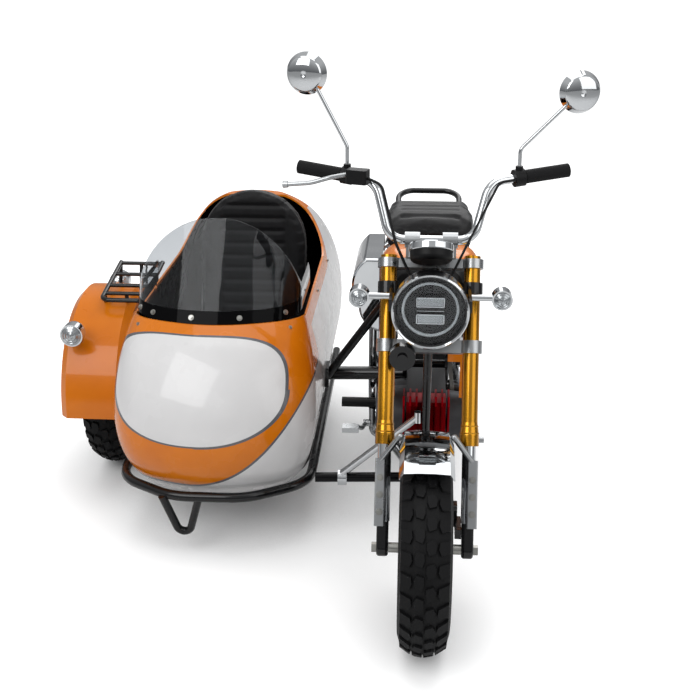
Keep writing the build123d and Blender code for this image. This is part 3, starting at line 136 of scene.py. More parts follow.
def worked_out(tree, values, steps):
    """Adds one math node a step to the named values: name, operation, and one or two inputs."""
    for name, operation, *operands in steps:
        node = add_node(tree, "ShaderNodeMath", {"operation": operation})
        for socket, operand in zip(node.inputs, operands):
            value = values.get(operand, operand) if isinstance(operand, str) else operand
            if isinstance(value, bpy.types.NodeSocket):
                tree.links.new(value, socket)
            else:
                socket.default_value = value
        values[name] = node.outputs[0]


def layered(tree, base, layers):
    """Colours laid over a base one after another, each where its mask is 1."""
    for mask, colour in layers:
        base = add_node(tree, "ShaderNodeMix", {"data_type": "RGBA"}, i0=mask, i6=base, i7=colour).outputs[2]
    return base


def plain_surface(
    name, dark, light, metallic, rough, spread, grain_mm, depth_mm, coat=0.0, stretch=(1, 1, 1)
):
    """A surface of one finish, whose colour drifts a little between two."""
    material, tree, shader, place = new_surface(name)
    broad = surface_detail(tree, shader, place, grain_mm, depth_mm, rough, spread, stretch)
    tree.links.new(layered(tree, linear(dark), [(broad, linear(light))]), shader.inputs["Base Color"])
    shader.inputs["Metallic"].default_value = metallic
    shader.inputs["Coat Weight"].default_value = coat
    shader.inputs["Coat Roughness"].default_value = COAT_ROUGHNESS
    return material


SURFACES = {
    # name: dark, light, metallic, roughness, its spread, grain mm, depth mm, coat, stretch of the grain
    # Carbon-black rubber: swallows light, with a faint grey bloom on its edges
    "moulded_tyre_rubber": ("080809", "131314", 0, 0.62, 0.08, 1.2, 0.05),
    # Cast alloy under silver lacquer: a soft metal glow with no sharp reflection
    "painted_cast_alloy_wheel": ("4B4C4F", "66686A", 0.85, 0.34, 0.06, 1.6, 0.04, 0.3),
    # Steel ground round its axis: fine streaks that stretch each highlight
    "ground_disc_steel": ("85878A", "A3A4A6", 1, 0.3, 0.06, 0.6, 0.02, 0.0, (8, 1, 1)),
    # Zinc plate: a slightly milky, bluish steel
    "zinc_plated_steel": ("8F8F8C", "B0AFA9", 1, 0.36, 0.08, 1.5, 0.02),
    # Stoved enamel on tube: near black with long, bright highlights
    "black_enamelled_tube": ("060607", "0D0D0F", 0, 0.26, 0.05, 3.0, 0.02, 0.5),
    # Bright chrome: mirrors the studio, light above and dark below
    "polished_chrome_plate": ("B9BCBF", "D8DADB", 1, 0.06, 0.02, 6.0, 0.008),
    # Clear gold anodising over drawn alloy: warm metal with streaks along the tube
    "gold_anodised_tube": ("A06C10", "CC9320", 1, 0.24, 0.05, 1.0, 0.01, 0.3, (1, 1, 0.2)),
    # Red anodising: deep colour that only lights up on the fins' edges
    "red_anodised_alloy": ("7A060D", "A30A17", 1, 0.34, 0.06, 1.0, 0.02),
    # Machined, bead-blasted alloy: pale, with soft wide highlights
    "satin_machined_alloy": ("9A9C9E", "B7B9BA", 1, 0.3, 0.07, 0.9, 0.02, 0.0, (1, 5, 1)),
    # Sand-cast alloy: a dull metal with a visible grain
    "sand_cast_alloy": ("3A3B3D", "515254", 0.9, 0.48, 0.06, 1.4, 0.12),
    # Moulded grip rubber: matt, a little warmer than the plastic beside it
    "ribbed_grip_rubber": ("0D0D0E", "171718", 0, 0.7, 0.05, 0.8, 0.06),
    # Spark-eroded nylon: black with a low sheen
    "moulded_black_nylon": ("0B0B0C", "151516", 0, 0.42, 0.06, 0.9, 0.05),
    # Gloss ABS behind the lens: dark, with clear reflections
    "gloss_lamp_shell": ("0E0F11", "17181B", 0.3, 0.2, 0.04, 4.0, 0.001, 0.6),
    # Oiled chain plates: dark steel with uneven shine
    "oiled_chain_steel": ("2A2826", "4A4641", 0.9, 0.42, 0.1, 1.5, 0.05),
    # Pearl orange under clear lacquer: a deep body colour below a sharp reflection
    "orange_pearl_enamel": (ORANGE_DEEP, ORANGE_BRIGHT, 0, 0.3, 0.04, 5.0, 0.003, 0.4),
    # Painted plywood: flat black, never seen in full light
    "painted_bench_board": ("0C0C0D", "171718", 0, 0.6, 0.05, 2.0, 0.05),
    # Ribbed clear lens in front of a reflector: pale, bright rings and dark grooves
    "clear_lens_over_reflector": ("7C8083", "C4C8CA", 0.8, 0.16, 0.05, 2.5, 0.25, 0.8),
    # Coloured lenses: saturated plastic with a wet gloss
    "amber_lens": ("B4480A", "E2741A", 0, 0.12, 0.02, 3.0, 0.03, 0.6),
    "red_lens": ("6E0508", "A30C10", 0, 0.12, 0.02, 3.0, 0.03, 0.6),
    # Silver behind glass: the clearest reflection on the vehicle
    "silvered_glass": ("B8BCC0", "D0D3D6", 1, 0.03, 0.01, 8.0, 0.0),
}
surfaces = {name: plain_surface(name, *values) for name, values in SURFACES.items()}

PEBBLE_MM = 2.2
CREASE_SCALE = 45.0                 # creases a metre
CREASE_SHARE = 1.4                  # of a crease's height beside a pebble's
GRAIN_DEPTH = 0.0005


def leather(name):
    """Cowhide, coated black: a fine pebble grain with a soft sheen on its tops."""
    material, tree, shader, place = new_surface(name)
    pebble = add_node(tree, "ShaderNodeTexVoronoi", Vector=place, Scale=1000 / PEBBLE_MM).outputs["Distance"]
    crease = add_node(tree, "ShaderNodeTexNoise", Vector=place, Scale=CREASE_SCALE, Detail=6.0).outputs["Fac"]
    height = add_node(
        tree, "ShaderNodeMath", {"operation": "MULTIPLY_ADD"}, i0=crease, i1=CREASE_SHARE, i2=pebble
    ).outputs[0]
    bump = add_node(
        tree, "ShaderNodeBump", Strength=0.45, Distance=GRAIN_DEPTH, Height=height
    ).outputs[0]
    tree.links.new(bump, shader.inputs["Normal"])
    tree.links.new(layered(tree, linear("070708"), [(crease, linear("141416"))]), shader.inputs["Base Color"])
    shader.inputs["Roughness"].default_value = 0.46
    shader.inputs["Sheen Weight"].default_value = 0.1
    return material


surfaces["coated_black_cowhide"] = leather("coated_black_cowhide")

# The windscreen's sealing strip covers its foot up to this height, in metres above the ground
SCREEN_STRIP_TOP = 0.657
SHEET_IOR = 1.25                    # below acrylic's 1.49


def clear_sheet(name, tint, strip_top):
    """Cast sheet that shows what is behind it, tinted a little, with a black strip along its foot."""
    material, tree, shader, place = new_surface(name)
    surface_detail(tree, shader, place, 20.0, 0.005, 0.03, 0.01)
    values = {"z": add_node(tree, "ShaderNodeSeparateXYZ", Vector=place).outputs["Z"]}
    worked_out(tree, values, (("strip", "LESS_THAN", "z", strip_top), ("clear", "SUBTRACT", 1.0, "strip")))
    colour = layered(tree, linear(tint), [(values["strip"], linear("060607"))])
    tree.links.new(colour, shader.inputs["Base Color"])
    tree.links.new(values["clear"], shader.inputs["Transmission Weight"])
    shader.inputs["IOR"].default_value = SHEET_IOR
    return material


surfaces["smoked_acrylic_sheet"] = clear_sheet("smoked_acrylic_sheet", "DDE1E5", SCREEN_STRIP_TOP)
surfaces["clear_lamp_glass"] = clear_sheet("clear_lamp_glass", "F6F8F9", 0.0)

# Sidecar paint: sizes in metres, heights above the ground, x from the body's centre, y from the axle
BODY_CENTRE = -0.575                # of the sidecar's body, across the layout
BODY_X = at(BODY_CENTRE, 0, 0).x
BODY_MIDDLE = at(BODY_CENTRE, 0.99, 0.40)
OVAL_X, OVAL_Z = -0.027, 0.477
OVAL_HALF_WIDTH, OVAL_HALF_HEIGHT = 0.232, 0.126
OVAL_POWER = 2.1                    # 2 is an ellipse, and more is fuller in the corners
OVAL_FULLER_TOP, OVAL_FULLER_LEFT = 1.0, 0.6
OVAL_REAR = 0.62
LINE_END = 1.11                     # outer edge of the coachline round the oval, where its own edge is 1
BELLY_LOW, BELLY_HIGH, BELLY_CURVE, BELLY_START = 0.210, 0.478, 2.3, -0.07
BELLY_LINE = 0.009
PANEL_FRONT = 0.63
PANEL_SIDE = 0.17
PANEL_DROP = 0.034                  # of the side panel below the cockpit's rim
RIM_HEIGHT, RIM_RISE, RIM_RISE_START = 0.607, 4.41, 1.17
RIM_FOLD = 0.016                    # of the orange paint over the rim to the inside
SIDECAR_PAINT_STEPS = (
    # name, operation, inputs
    ("side", "SUBTRACT", "x", BODY_X),
    ("back", "SUBTRACT", "y", ORIGIN.y),
    ("oval_side", "SUBTRACT", "side", OVAL_X),
    ("oval_share", "DIVIDE", "oval_side", OVAL_HALF_WIDTH),
    ("oval_up", "SUBTRACT", "z", OVAL_Z),
    ("oval_height", "DIVIDE", "oval_up", OVAL_HALF_HEIGHT),
    ("upper_half", "GREATER_THAN", "oval_up", 0.0),
    ("left_half", "LESS_THAN", "oval_side", 0.0),
    ("upper_power", "MULTIPLY", "upper_half", OVAL_FULLER_TOP),
    ("left_power", "MULTIPLY", "left_half", OVAL_FULLER_LEFT),
    ("more_power", "ADD", "upper_power", "left_power"),
    ("power", "ADD", "more_power", OVAL_POWER),
    ("share_size", "ABSOLUTE", "oval_share"),
    ("height_size", "ABSOLUTE", "oval_height"),
    ("share_raised", "POWER", "share_size", "power"),
    ("height_raised", "POWER", "height_size", "power"),
    ("oval", "ADD", "share_raised", "height_raised"),
    ("forward", "LESS_THAN", "back", OVAL_REAR),
    ("in_oval", "LESS_THAN", "oval", 1.0),
    ("white_oval", "MULTIPLY", "in_oval", "forward"),
    ("past_line", "GREATER_THAN", "oval", 1.0),
    ("before_line", "LESS_THAN", "oval", LINE_END),
    ("oval_line", "MULTIPLY", "past_line", "before_line"),
    ("oval_coachline", "MULTIPLY", "oval_line", "forward"),
    ("belly_side", "SUBTRACT", "side", BELLY_START),
    ("belly_reach", "MAXIMUM", "belly_side", 0.0),
    ("belly_square", "MULTIPLY", "belly_reach", "belly_reach"),
    ("belly_rise", "MULTIPLY", "belly_square", BELLY_CURVE),
    ("belly_open", "ADD", "belly_rise", BELLY_LOW),
    ("belly_top", "MINIMUM", "belly_open", BELLY_HIGH),
    ("above_belly", "SUBTRACT", "z", "belly_top"),
    ("white_belly", "LESS_THAN", "above_belly", 0.0),
    ("from_edge", "ABSOLUTE", "above_belly"),
    ("belly_line", "LESS_THAN", "from_edge", BELLY_LINE / 2),
    ("rim_run", "SUBTRACT", "back", RIM_RISE_START),
    ("rim_reach", "MAXIMUM", "rim_run", 0.0),
    ("rim_square", "MULTIPLY", "rim_reach", "rim_reach"),
    ("rim_lift", "MULTIPLY", "rim_square", RIM_RISE),
    ("rim", "ADD", "rim_lift", RIM_HEIGHT),
    ("below_rim", "SUBTRACT", "rim", "z"),
    ("under_band", "GREATER_THAN", "below_rim", PANEL_DROP),
    ("behind_front", "GREATER_THAN", "back", PANEL_FRONT),
    ("from_middle", "ABSOLUTE", "side"),
    ("on_flank", "GREATER_THAN", "from_middle", PANEL_SIDE),
    ("panel_place", "MULTIPLY", "behind_front", "on_flank"),
    ("white_panel", "MULTIPLY", "panel_place", "under_band"),
    ("ahead", "SUBTRACT", 1.0, "behind_front"),
    ("belly_coachline", "MULTIPLY", "belly_line", "ahead"),
    ("inside", "LESS_THAN", "facing", 0.0),
    ("below_fold", "GREATER_THAN", "below_rim", RIM_FOLD),
    ("black_inside", "MULTIPLY", "inside", "below_fold"),
)


def sidecar_enamel():
    """Pearl enamel in orange and white, with grey coachlines, and a black inside."""
    material, tree, shader, place = new_surface("sidecar_two_colour_enamel")
    broad = surface_detail(tree, shader, place, 5.0, 0.003, 0.26, 0.04)
    split = add_node(tree, "ShaderNodeSeparateXYZ", Vector=place)
    # The inside wall's normal points back to the body's middle
    outwards = add_node(
        tree, "ShaderNodeVectorMath", {"operation": "SUBTRACT"}, i0=place, i1=BODY_MIDDLE
    ).outputs[0]
    normal = add_node(tree, "ShaderNodeNewGeometry").outputs["True Normal"]
    facing = add_node(tree, "ShaderNodeVectorMath", {"operation": "DOT_PRODUCT"}, i0=normal, i1=outwards)
    values = dict(zip("xyz", split.outputs), facing=facing.outputs["Value"])
    worked_out(tree, values, SIDECAR_PAINT_STEPS)
    orange = layered(tree, linear(ORANGE_DEEP), [(broad, linear(ORANGE_BRIGHT))])
    pearl = layered(tree, linear("C9C8C8"), [(broad, linear("D6D5D5"))])
    coachline = linear("5B5C60")
    paint = layered(tree, orange, [
        (values["white_oval"], pearl), (values["white_panel"], pearl), (values["white_belly"], pearl),
        (values["oval_coachline"], coachline), (values["belly_coachline"], coachline),
        (values["black_inside"], linear(SOFT_BLACK)),
    ])
    tree.links.new(paint, shader.inputs["Base Color"])
    shader.inputs["Coat Weight"].default_value = 0.5
    shader.inputs["Coat Roughness"].default_value = COAT_ROUGHNESS
    return material


surfaces["sidecar_two_colour_enamel"] = sidecar_enamel()

STRUT_BLACK_TOP = 0.2225            # of the cross tube, above the ground
STRUT_CLAMP_X = at(-0.224, 0, 0).x
STRUT_CLAMP_HALF = 0.0125


def lower_strut_finish():
    """Black enamel on the cross tube, with the clamp and the turnbuckle above it in bright chrome."""
    material, tree, shader, place = new_surface("enamelled_tube_and_chrome_clamp")
    surface_detail(tree, shader, place, 4.0, 0.01, 0.12, 0.03)
    split = add_node(tree, "ShaderNodeSeparateXYZ", Vector=place)
    values = {"x": split.outputs[0], "z": split.outputs[2]}
    worked_out(tree, values, (
        ("above", "GREATER_THAN", "z", STRUT_BLACK_TOP),
        ("from_clamp", "SUBTRACT", "x", STRUT_CLAMP_X),
        ("clamp_side", "ABSOLUTE", "from_clamp"),
        ("on_clamp", "LESS_THAN", "clamp_side", STRUT_CLAMP_HALF),
        ("chrome", "MAXIMUM", "above", "on_clamp"),
    ))
    colour = layered(tree, linear("08080A"), [(values["chrome"], linear("C6C8CA"))])
    tree.links.new(colour, shader.inputs["Base Color"])
    tree.links.new(values["chrome"], shader.inputs["Metallic"])
    return material


surfaces["enamelled_tube_and_chrome_clamp"] = lower_strut_finish()

TANK_FRONT = at(0, 0.466, 0).y
PEG_FRONT, PEG_LOW = at(0, 0.580, 0).y, 0.338


def part_black(name, base, mask_steps, gloss):
    """One finish with a stretch of it in black: the last step's value is 1 where it is black."""
    material = plain_surface(name, *SURFACES[base])
    tree = material.node_tree
    shader = tree.nodes["Principled BSDF"]
    place = add_node(tree, "ShaderNodeTexCoord").outputs["Object"]
    split = add_node(tree, "ShaderNodeSeparateXYZ", Vector=place)
    values = {"y": split.outputs[1], "z": split.outputs[2]}
    worked_out(tree, values, mask_steps)
    black = values[mask_steps[-1][0]]
    below = shader.inputs["Base Color"].links[0].from_socket
    tree.links.new(layered(tree, below, [(black, linear(SOFT_BLACK))]), shader.inputs["Base Color"])
    values["black"] = black
    worked_out(tree, values, (("shine", "SUBTRACT", 1.0, "black"), ("metal", "MULTIPLY", "shine", gloss)))
    tree.links.new(values["metal"], shader.inputs["Metallic"])
    return material


# The tank's nose between the fork legs is black, like what surrounds it in the photograph
surfaces["enamelled_tank_with_black_nose"] = part_black(
    "enamelled_tank_with_black_nose", "orange_pearl_enamel", (("nose", "LESS_THAN", "y", TANK_FRONT),), 0.0
)
# Alloy levers and bar, with black rubber on the footpegs
surfaces["alloy_with_rubber_pegs"] = part_black(
    "alloy_with_rubber_pegs", "satin_machined_alloy", (
        ("behind", "GREATER_THAN", "y", PEG_FRONT), ("high", "GREATER_THAN", "z", PEG_LOW),
        ("peg", "MULTIPLY", "behind", "high"),
    ), 1.0,
)

NODE_SURFACES = {
    "painted_cast_alloy_wheel": ("front_rim", "rear_rim", "sidecar_rim"),
    "ground_disc_steel": ("front_brake_disc", "rear_disc_and_sprocket"),
    "zinc_plated_steel": ("front_axle", "rear_axle", "sidecar_axle"),
    "black_enamelled_tube": (
        "fork_feet", "main_frame", "sidecar_subframe", "sidecar_chassis", "swingarm", "luggage_rack",
        "upper_struts", "headlamp_ears", "grab_rail", "front_brake_caliper", "rear_lamps", "horn",
        "headlamp_bucket",
    ),
    "polished_chrome_plate": (
        "fork_inner_tubes", "handlebar", "mirrors", "front_mudguard", "rear_mudguard", "exhaust",
        "rear_shocks", "sidecar_lamps", "front_indicators",
    ),
    "gold_anodised_tube": ("fork_outer_tubes",),
    "red_anodised_alloy": ("engine_head",),
    "satin_machined_alloy": ("triple_clamps", "mudguard_stays", "brake_lever"),
    "alloy_with_rubber_pegs": ("foot_controls",),
    "enamelled_tank_with_black_nose": ("fuel_tank",),
    "sand_cast_alloy": ("engine_crankcase",),
    "ribbed_grip_rubber": ("grips",),
    "moulded_black_nylon": ("hand_controls", "gauge", "control_cables"),
    "enamelled_tube_and_chrome_clamp": ("lower_struts",),
    "gloss_lamp_shell": ("headlamp_units",),
    "oiled_chain_steel": ("drive_chain",),
    "orange_pearl_enamel": ("side_covers", "sidecar_mudguard"),
    "sidecar_two_colour_enamel": ("sidecar_body",),
    "painted_bench_board": ("sidecar_bench",),
    "silvered_glass": ("mirror_glasses",),
    "clear_lamp_glass": ("headlamp_lens",),
    "smoked_acrylic_sheet": ("windscreen",),
    "coated_black_cowhide": ("rider_saddle", "sidecar_cushion", "sidecar_backrest"),
    "moulded_tyre_rubber": ("front_tyre", "rear_tyre", "sidecar_tyre"),
}
SURFACE_OF = {node: name for name, nodes in NODE_SURFACES.items() for node in nodes}
for node_name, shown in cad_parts.items():
    shown.data.materials.clear()
    shown.data.materials.append(surfaces[SURFACE_OF[node_name]])


# Pieces

def piece_from(name, mesh, surface, body):
    """Makes a bmesh a piece that rides on a body."""
    bmesh.ops.recalc_face_normals(mesh, faces=mesh.faces)
    data = bpy.data.meshes.new(name)
    mesh.to_mesh(data)
    mesh.free()
    data.materials.append(surfaces[surface])
    made = bpy.data.objects.new(name, data)
    bpy.context.collection.objects.link(made)
    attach(made, body)
    return made


def spun(mesh, centre, axis, section, steps=48):
    """Adds a closed section of (radius, distance along the axis) turned about the axis."""
    axis = Vector(axis).normalized()
    side = axis.orthogonal().normalized()
    points = [mesh.verts.new(centre + side * radius + axis * along) for radius, along in section]
    edges = [mesh.edges.new((points[i - 1], points[i])) for i in range(len(points))]
    bmesh.ops.spin(
        mesh, geom=points + edges, cent=centre, axis=axis, angle=2 * pi, steps=steps, use_merge=True,
        use_duplicate=False,
    )


def boxed(mesh, low, high):
    """Adds a box between its lowest and highest corners."""
    low, high = Vector(low), Vector(high)
    scale = Matrix.Diagonal((*(high - low), 1.0))
    bmesh.ops.create_cube(mesh, size=1.0, matrix=Matrix.Translation((low + high) / 2) @ scale)


# Tyres: a carcass spun from its section, with angular blocks in staggered rows standing on it
TREAD_STEPS = 84
TREAD_PITCHES = 30
TREAD_DEPTH = 0.007
CROWN_DROP = 0.024                  # of the crown at the shoulder
BEAD_RADIUS = 0.1528
BEAD_HALF_WIDTH = 0.0434
BEAD_HEIGHT = 0.028
BEAD_STEP = 0.004                   # of the wall in from the full width, at the bead's height
WIDEST_SHARE = 0.79                 # of the radius, where the wall is widest
CROWN_EDGE = 0.006                  # of the crown in from the full width
WALL_SHARE, WALL = 0.8, 0.018       # height of the inside wall, and its distance in from the outside
CROWN_WALL = 0.011                  # of the carcass under the crown's middle
BLOCK_EDGE = 0.004                  # of the outer blocks in from the full width
BLOCK_ROOT = -0.003                 # of a block, below the carcass
BLOCK_RISE = 0.98                   # share of the tread's depth that a block stands out
BLOCK_TAPER = 0.93
CROWN_COLUMNS = 8
TYRES = (
    # node, body
    ("front_tyre", "front_wheel"),
    ("rear_tyre", "rear_wheel"),
    ("sidecar_tyre", "sidecar_wheel"),
)
TREAD_BLOCKS = (
    # outline of a block: (share of the half width, share of a pitch)
    ((0.04, 0.10), (0.34, 0.00), (0.45, 0.26), (0.40, 0.60), (0.12, 0.72), (0.02, 0.42)),
    ((0.54, 0.12), (0.97, 0.00), (0.97, 0.58), (0.62, 0.74), (0.50, 0.44)),
)


def treaded_tyre(node, body):
    """A tyre with its blocks, in place of the plain CAD one."""
    low, high = (Vector(corner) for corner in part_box(node))
    centre, radius, half = (low + high) / 2, (high.z - low.z) / 2, (high.x - low.x) / 2
    base = radius - TREAD_DEPTH
    mesh = bmesh.new()
    section = [
        (BEAD_RADIUS, -BEAD_HALF_WIDTH), (BEAD_RADIUS + BEAD_HEIGHT, -half + BEAD_STEP),
        (radius * WIDEST_SHARE, -half),
    ]
    for column in range(CROWN_COLUMNS + 1):
        across = -1 + 2 * column / CROWN_COLUMNS
        section.append((base - CROWN_DROP * across * across, across * (half - CROWN_EDGE)))
    section += [
        (radius * WIDEST_SHARE, half), (BEAD_RADIUS + BEAD_HEIGHT, half - BEAD_STEP),
        (BEAD_RADIUS, BEAD_HALF_WIDTH), (radius * WALL_SHARE, half - WALL), (base - CROWN_WALL, 0),
        (radius * WALL_SHARE, -half + WALL),
    ]
    spun(mesh, centre, (1, 0, 0), section, TREAD_STEPS)

    def on_crown(across, turn, lift):
        """A point over the crown: share of the half width, turn round the axle, height above it."""
        reach = base - CROWN_DROP * across * across + lift
        return centre + Vector((across * (half - BLOCK_EDGE), -reach * sin(turn), reach * cos(turn)))

    for pitch in range(TREAD_PITCHES):
        for side, shift in ((-1, 0.0), (1, 0.5)):
            for outline in TREAD_BLOCKS:
                rings = []
                for lift, shrink in ((BLOCK_ROOT, 1.0), (TREAD_DEPTH * BLOCK_RISE, BLOCK_TAPER)):
                    middle = [sum(values) / len(outline) for values in zip(*outline)]
                    ring = []
                    for across, along in outline:
                        u = middle[0] + (across - middle[0]) * shrink
                        v = middle[1] + (along - middle[1]) * shrink
                        turn = 2 * pi * (pitch + shift + v) / TREAD_PITCHES
                        ring.append(mesh.verts.new(on_crown(side * u, turn, lift)))
                    rings.append(ring)
                count = len(outline)
                for i in range(count):
                    j = (i + 1) % count
                    mesh.faces.new((rings[0][i], rings[0][j], rings[1][j], rings[1][i]))
                mesh.faces.new(rings[1])
                mesh.faces.new(reversed(rings[0]))
    made = piece_from(node + "_treaded", mesh, "moulded_tyre_rubber", body)
    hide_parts(node)


for tyre_node, tyre_body in TYRES:
    treaded_tyre(tyre_node, tyre_body)

# Padded leather: the solid's own outline, remeshed, swollen a little under pressure, then sewn
VOXEL = 0.006
CLOTH_FRAMES = 16
SWELL_CAP = 0.009
CLOTH_PRESSURE = 4
DOUBLES = 0.00005                   # distance within which the CAD mesh's loose corners are one
CHANNEL_WIDTH = 0.006


def padded_from(node, shrink, channels):
    """A stuffed leather piece in place of its solid; channels gives a groove's depth at a point."""
    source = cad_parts[node]
    mesh = bmesh.new()
    mesh.from_mesh(source.data)
    bmesh.ops.remove_doubles(mesh, verts=mesh.verts, dist=DOUBLES)
    low, high = (Vector(corner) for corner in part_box(node))
    middle = (low + high) / 2
    size = high - low
    for vertex in mesh.verts:
        offset = vertex.co - middle
        vertex.co = middle + Vector(offset[i] * (1 - 2 * shrink / size[i]) for i in range(3))
    made = piece_from(node + "_sewn", mesh, "coated_black_cowhide", "root")
    remesh = made.modifiers.new("remesh", "REMESH")
    remesh.mode = "VOXEL"
    remesh.voxel_size = VOXEL
    apply_modifiers(made)
    start = [vertex.co.copy() for vertex in made.data.vertices]
    cloth = made.modifiers.new("cloth", "CLOTH")
    cloth.settings.use_pressure = True
    cloth.settings.uniform_pressure_force = CLOTH_PRESSURE
    cloth.settings.effector_weights.gravity = 0
    for step in range(1, CLOTH_FRAMES + 1):
        bpy.context.scene.frame_set(step)
    apply_modifiers(made)
    bpy.context.scene.frame_set(1)
    for vertex, before in zip(made.data.vertices, start):
        move = vertex.co - before
        if move.length > SWELL_CAP:
            vertex.co = before + move.normalized() * SWELL_CAP
    for vertex in made.data.vertices:
        vertex.co -= vertex.normal * channels(vertex.co, vertex.normal)
    for polygon in made.data.polygons:
        polygon.use_smooth = True
    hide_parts(node)


def apply_modifiers(made):
    """Bakes a piece's modifiers into its mesh."""
    graph = bpy.context.evaluated_depsgraph_get()
    baked = bpy.data.meshes.new_from_object(made.evaluated_get(graph))
    made.modifiers.clear()
    made.data = baked


def groove(distance, width, depth):
    """The depth of a sewn groove at a distance from its middle."""
    share = max(0.0, 1 - abs(distance) / width)
    return depth * share * share * (3 - 2 * share)


BACKREST_CHANNELS = 9
BACKREST_PITCH = 0.0405
BACKREST_TOP = 0.062                # from the top edge to the first channel
BACKREST_SEAM_X = 0.107
BACKREST_GROOVE = 0.005
SEAM_GROOVE = 0.004
FACES_FRONT = -0.4                  # a normal's y, past which a face counts as the front
back_high = Vector(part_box("sidecar_backrest")[1])


def backrest_channels(point, normal):
    """Level channels between two upright seams, on the front."""
    if normal.y > FACES_FRONT:
        return 0.0
    depth = groove(abs(point.x - BODY_X) - BACKREST_SEAM_X, CHANNEL_WIDTH * 1.5, SEAM_GROOVE)
    if abs(point.x - BODY_X) < BACKREST_SEAM_X:
        top = back_high.z - BACKREST_TOP
        row = round((top - point.z) / BACKREST_PITCH)
        if 0 <= row < BACKREST_CHANNELS:
            from_channel = point.z - (top - row * BACKREST_PITCH)
            depth = max(depth, groove(from_channel, CHANNEL_WIDTH * 1.5, BACKREST_GROOVE))
    return depth


CUSHION_PITCH = 0.05
CUSHION_GROOVE = 0.006
CUSHION_TOP = 0.4                   # a normal's z, past which a face counts as the top


def cushion_channels(point, normal):
    """Channels across the top, between the backrest's two seams."""
    if normal.z < CUSHION_TOP or abs(point.x - BODY_X) > BACKREST_SEAM_X:
        return 0.0
    offset = (point.y - ORIGIN.y) % CUSHION_PITCH - CUSHION_PITCH / 2
    return groove(offset, CHANNEL_WIDTH * 2, CUSHION_GROOVE)


SADDLE_PITCH = 0.045
SADDLE_GROOVE = 0.005
SADDLE_TOP = 0.5                    # a normal's z, past which a face counts as the top
SADDLE_CHANNEL_X = 0.085            # reach of the channels each side of the middle
saddle_low = Vector(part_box("rider_saddle")[0])


def saddle_channels(point, normal):
    """Channels across the top of the rider's saddle."""
    if normal.z < SADDLE_TOP or abs(point.x - ORIGIN.x) > SADDLE_CHANNEL_X:
        return 0.0
    offset = (point.y - saddle_low.y) % SADDLE_PITCH - SADDLE_PITCH / 2
    return groove(offset, CHANNEL_WIDTH * 2, SADDLE_GROOVE)


padded_from("sidecar_backrest", 0.009, backrest_channels)
padded_from("sidecar_cushion", 0.009, cushion_channels)
padded_from("rider_saddle", 0.006, saddle_channels)


# Bolts and screws
BOLT_STEPS = (
    # sides, radius, start and height of the washer and the hexagon head, as shares of the head's radius
    (24, 1.5, 0.0, 0.25), (6, 1.0, 0.25, 0.9),
)


def bolts(name, body, surface, places):
    """Hexagon heads on washers; places: centre of the seat, direction outwards, radius of the head."""
    mesh = bmesh.new()
    for centre, outwards, radius in places:
        turn = Vector(outwards).to_track_quat("Z", "Y").to_matrix().to_4x4()
        for sides, share, start, height in BOLT_STEPS:
            lift = Vector(outwards).normalized() * radius * (start + height / 2)
            bmesh.ops.create_cone(
                mesh, cap_ends=True, segments=sides, radius1=radius * share, radius2=radius * share * 0.94,
                depth=radius * height, matrix=Matrix.Translation(Vector(centre) + lift) @ turn,
            )
    piece_from(name, mesh, surface, body)


AXLE_HEIGHT = 0.248
FORK_LEAN = radians(25)
STAY_X = 0.1076
STAY_FRONT = -0.0353                # of the stay plate's front face, from the leg's axis
STAY_BOLTS = (0.085, 0.125, 0.165)  # along the leg from the axle
STAY_BOLT_RADIUS = 0.0055
bolts("stay_bolts", "steering", "zinc_plated_steel", [
    (
        at(side * STAY_X, STAY_FRONT * cos(FORK_LEAN) + along * sin(FORK_LEAN),
           AXLE_HEIGHT - STAY_FRONT * sin(FORK_LEAN) + along * cos(FORK_LEAN)),
        (0, -cos(FORK_LEAN), sin(FORK_LEAN)), STAY_BOLT_RADIUS,
    )
    for side in (-1, 1) for along in STAY_BOLTS
])



def on_node(node, start, direction):
    """Where a line meets a CAD node first, and the surface's direction there."""
    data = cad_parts[node].data
    tree = BVHTree.FromPolygons([v.co for v in data.vertices], [p.vertices for p in data.polygons])
    point, normal = tree.ray_cast(start, Vector(direction))[:2]
    return point, normal if normal.dot(Vector(direction)) < 0 else -normal


SCREEN_SCREW_Z = 0.641
SCREEN_SCREW_XS = (-0.783, -0.740, -0.629, -0.500, -0.383)
SCREEN_SCREW_RADIUS = 0.0052
BODY_STUDS = (
    # distance behind the front axle, height
    (1.223, 0.584), (0.887, 0.590), (0.510, 0.608),
)
BODY_STUD_RADIUS = 0.0036
screw_places = []
for x in SCREEN_SCREW_XS:
    point, outwards = on_node("windscreen", at(x, -0.5, SCREEN_SCREW_Z), (0, 1, 0))
    screw_places.append((point, outwards, SCREEN_SCREW_RADIUS))
for back, height in BODY_STUDS:
    for side in (-1, 1):
        point, outwards = on_node("sidecar_body", at(BODY_CENTRE + side * 0.5, back, height), (-side, 0, 0))
        screw_places.append((point, outwards, BODY_STUD_RADIUS))
bolts("sidecar_screws", "root", "zinc_plated_steel", screw_places)

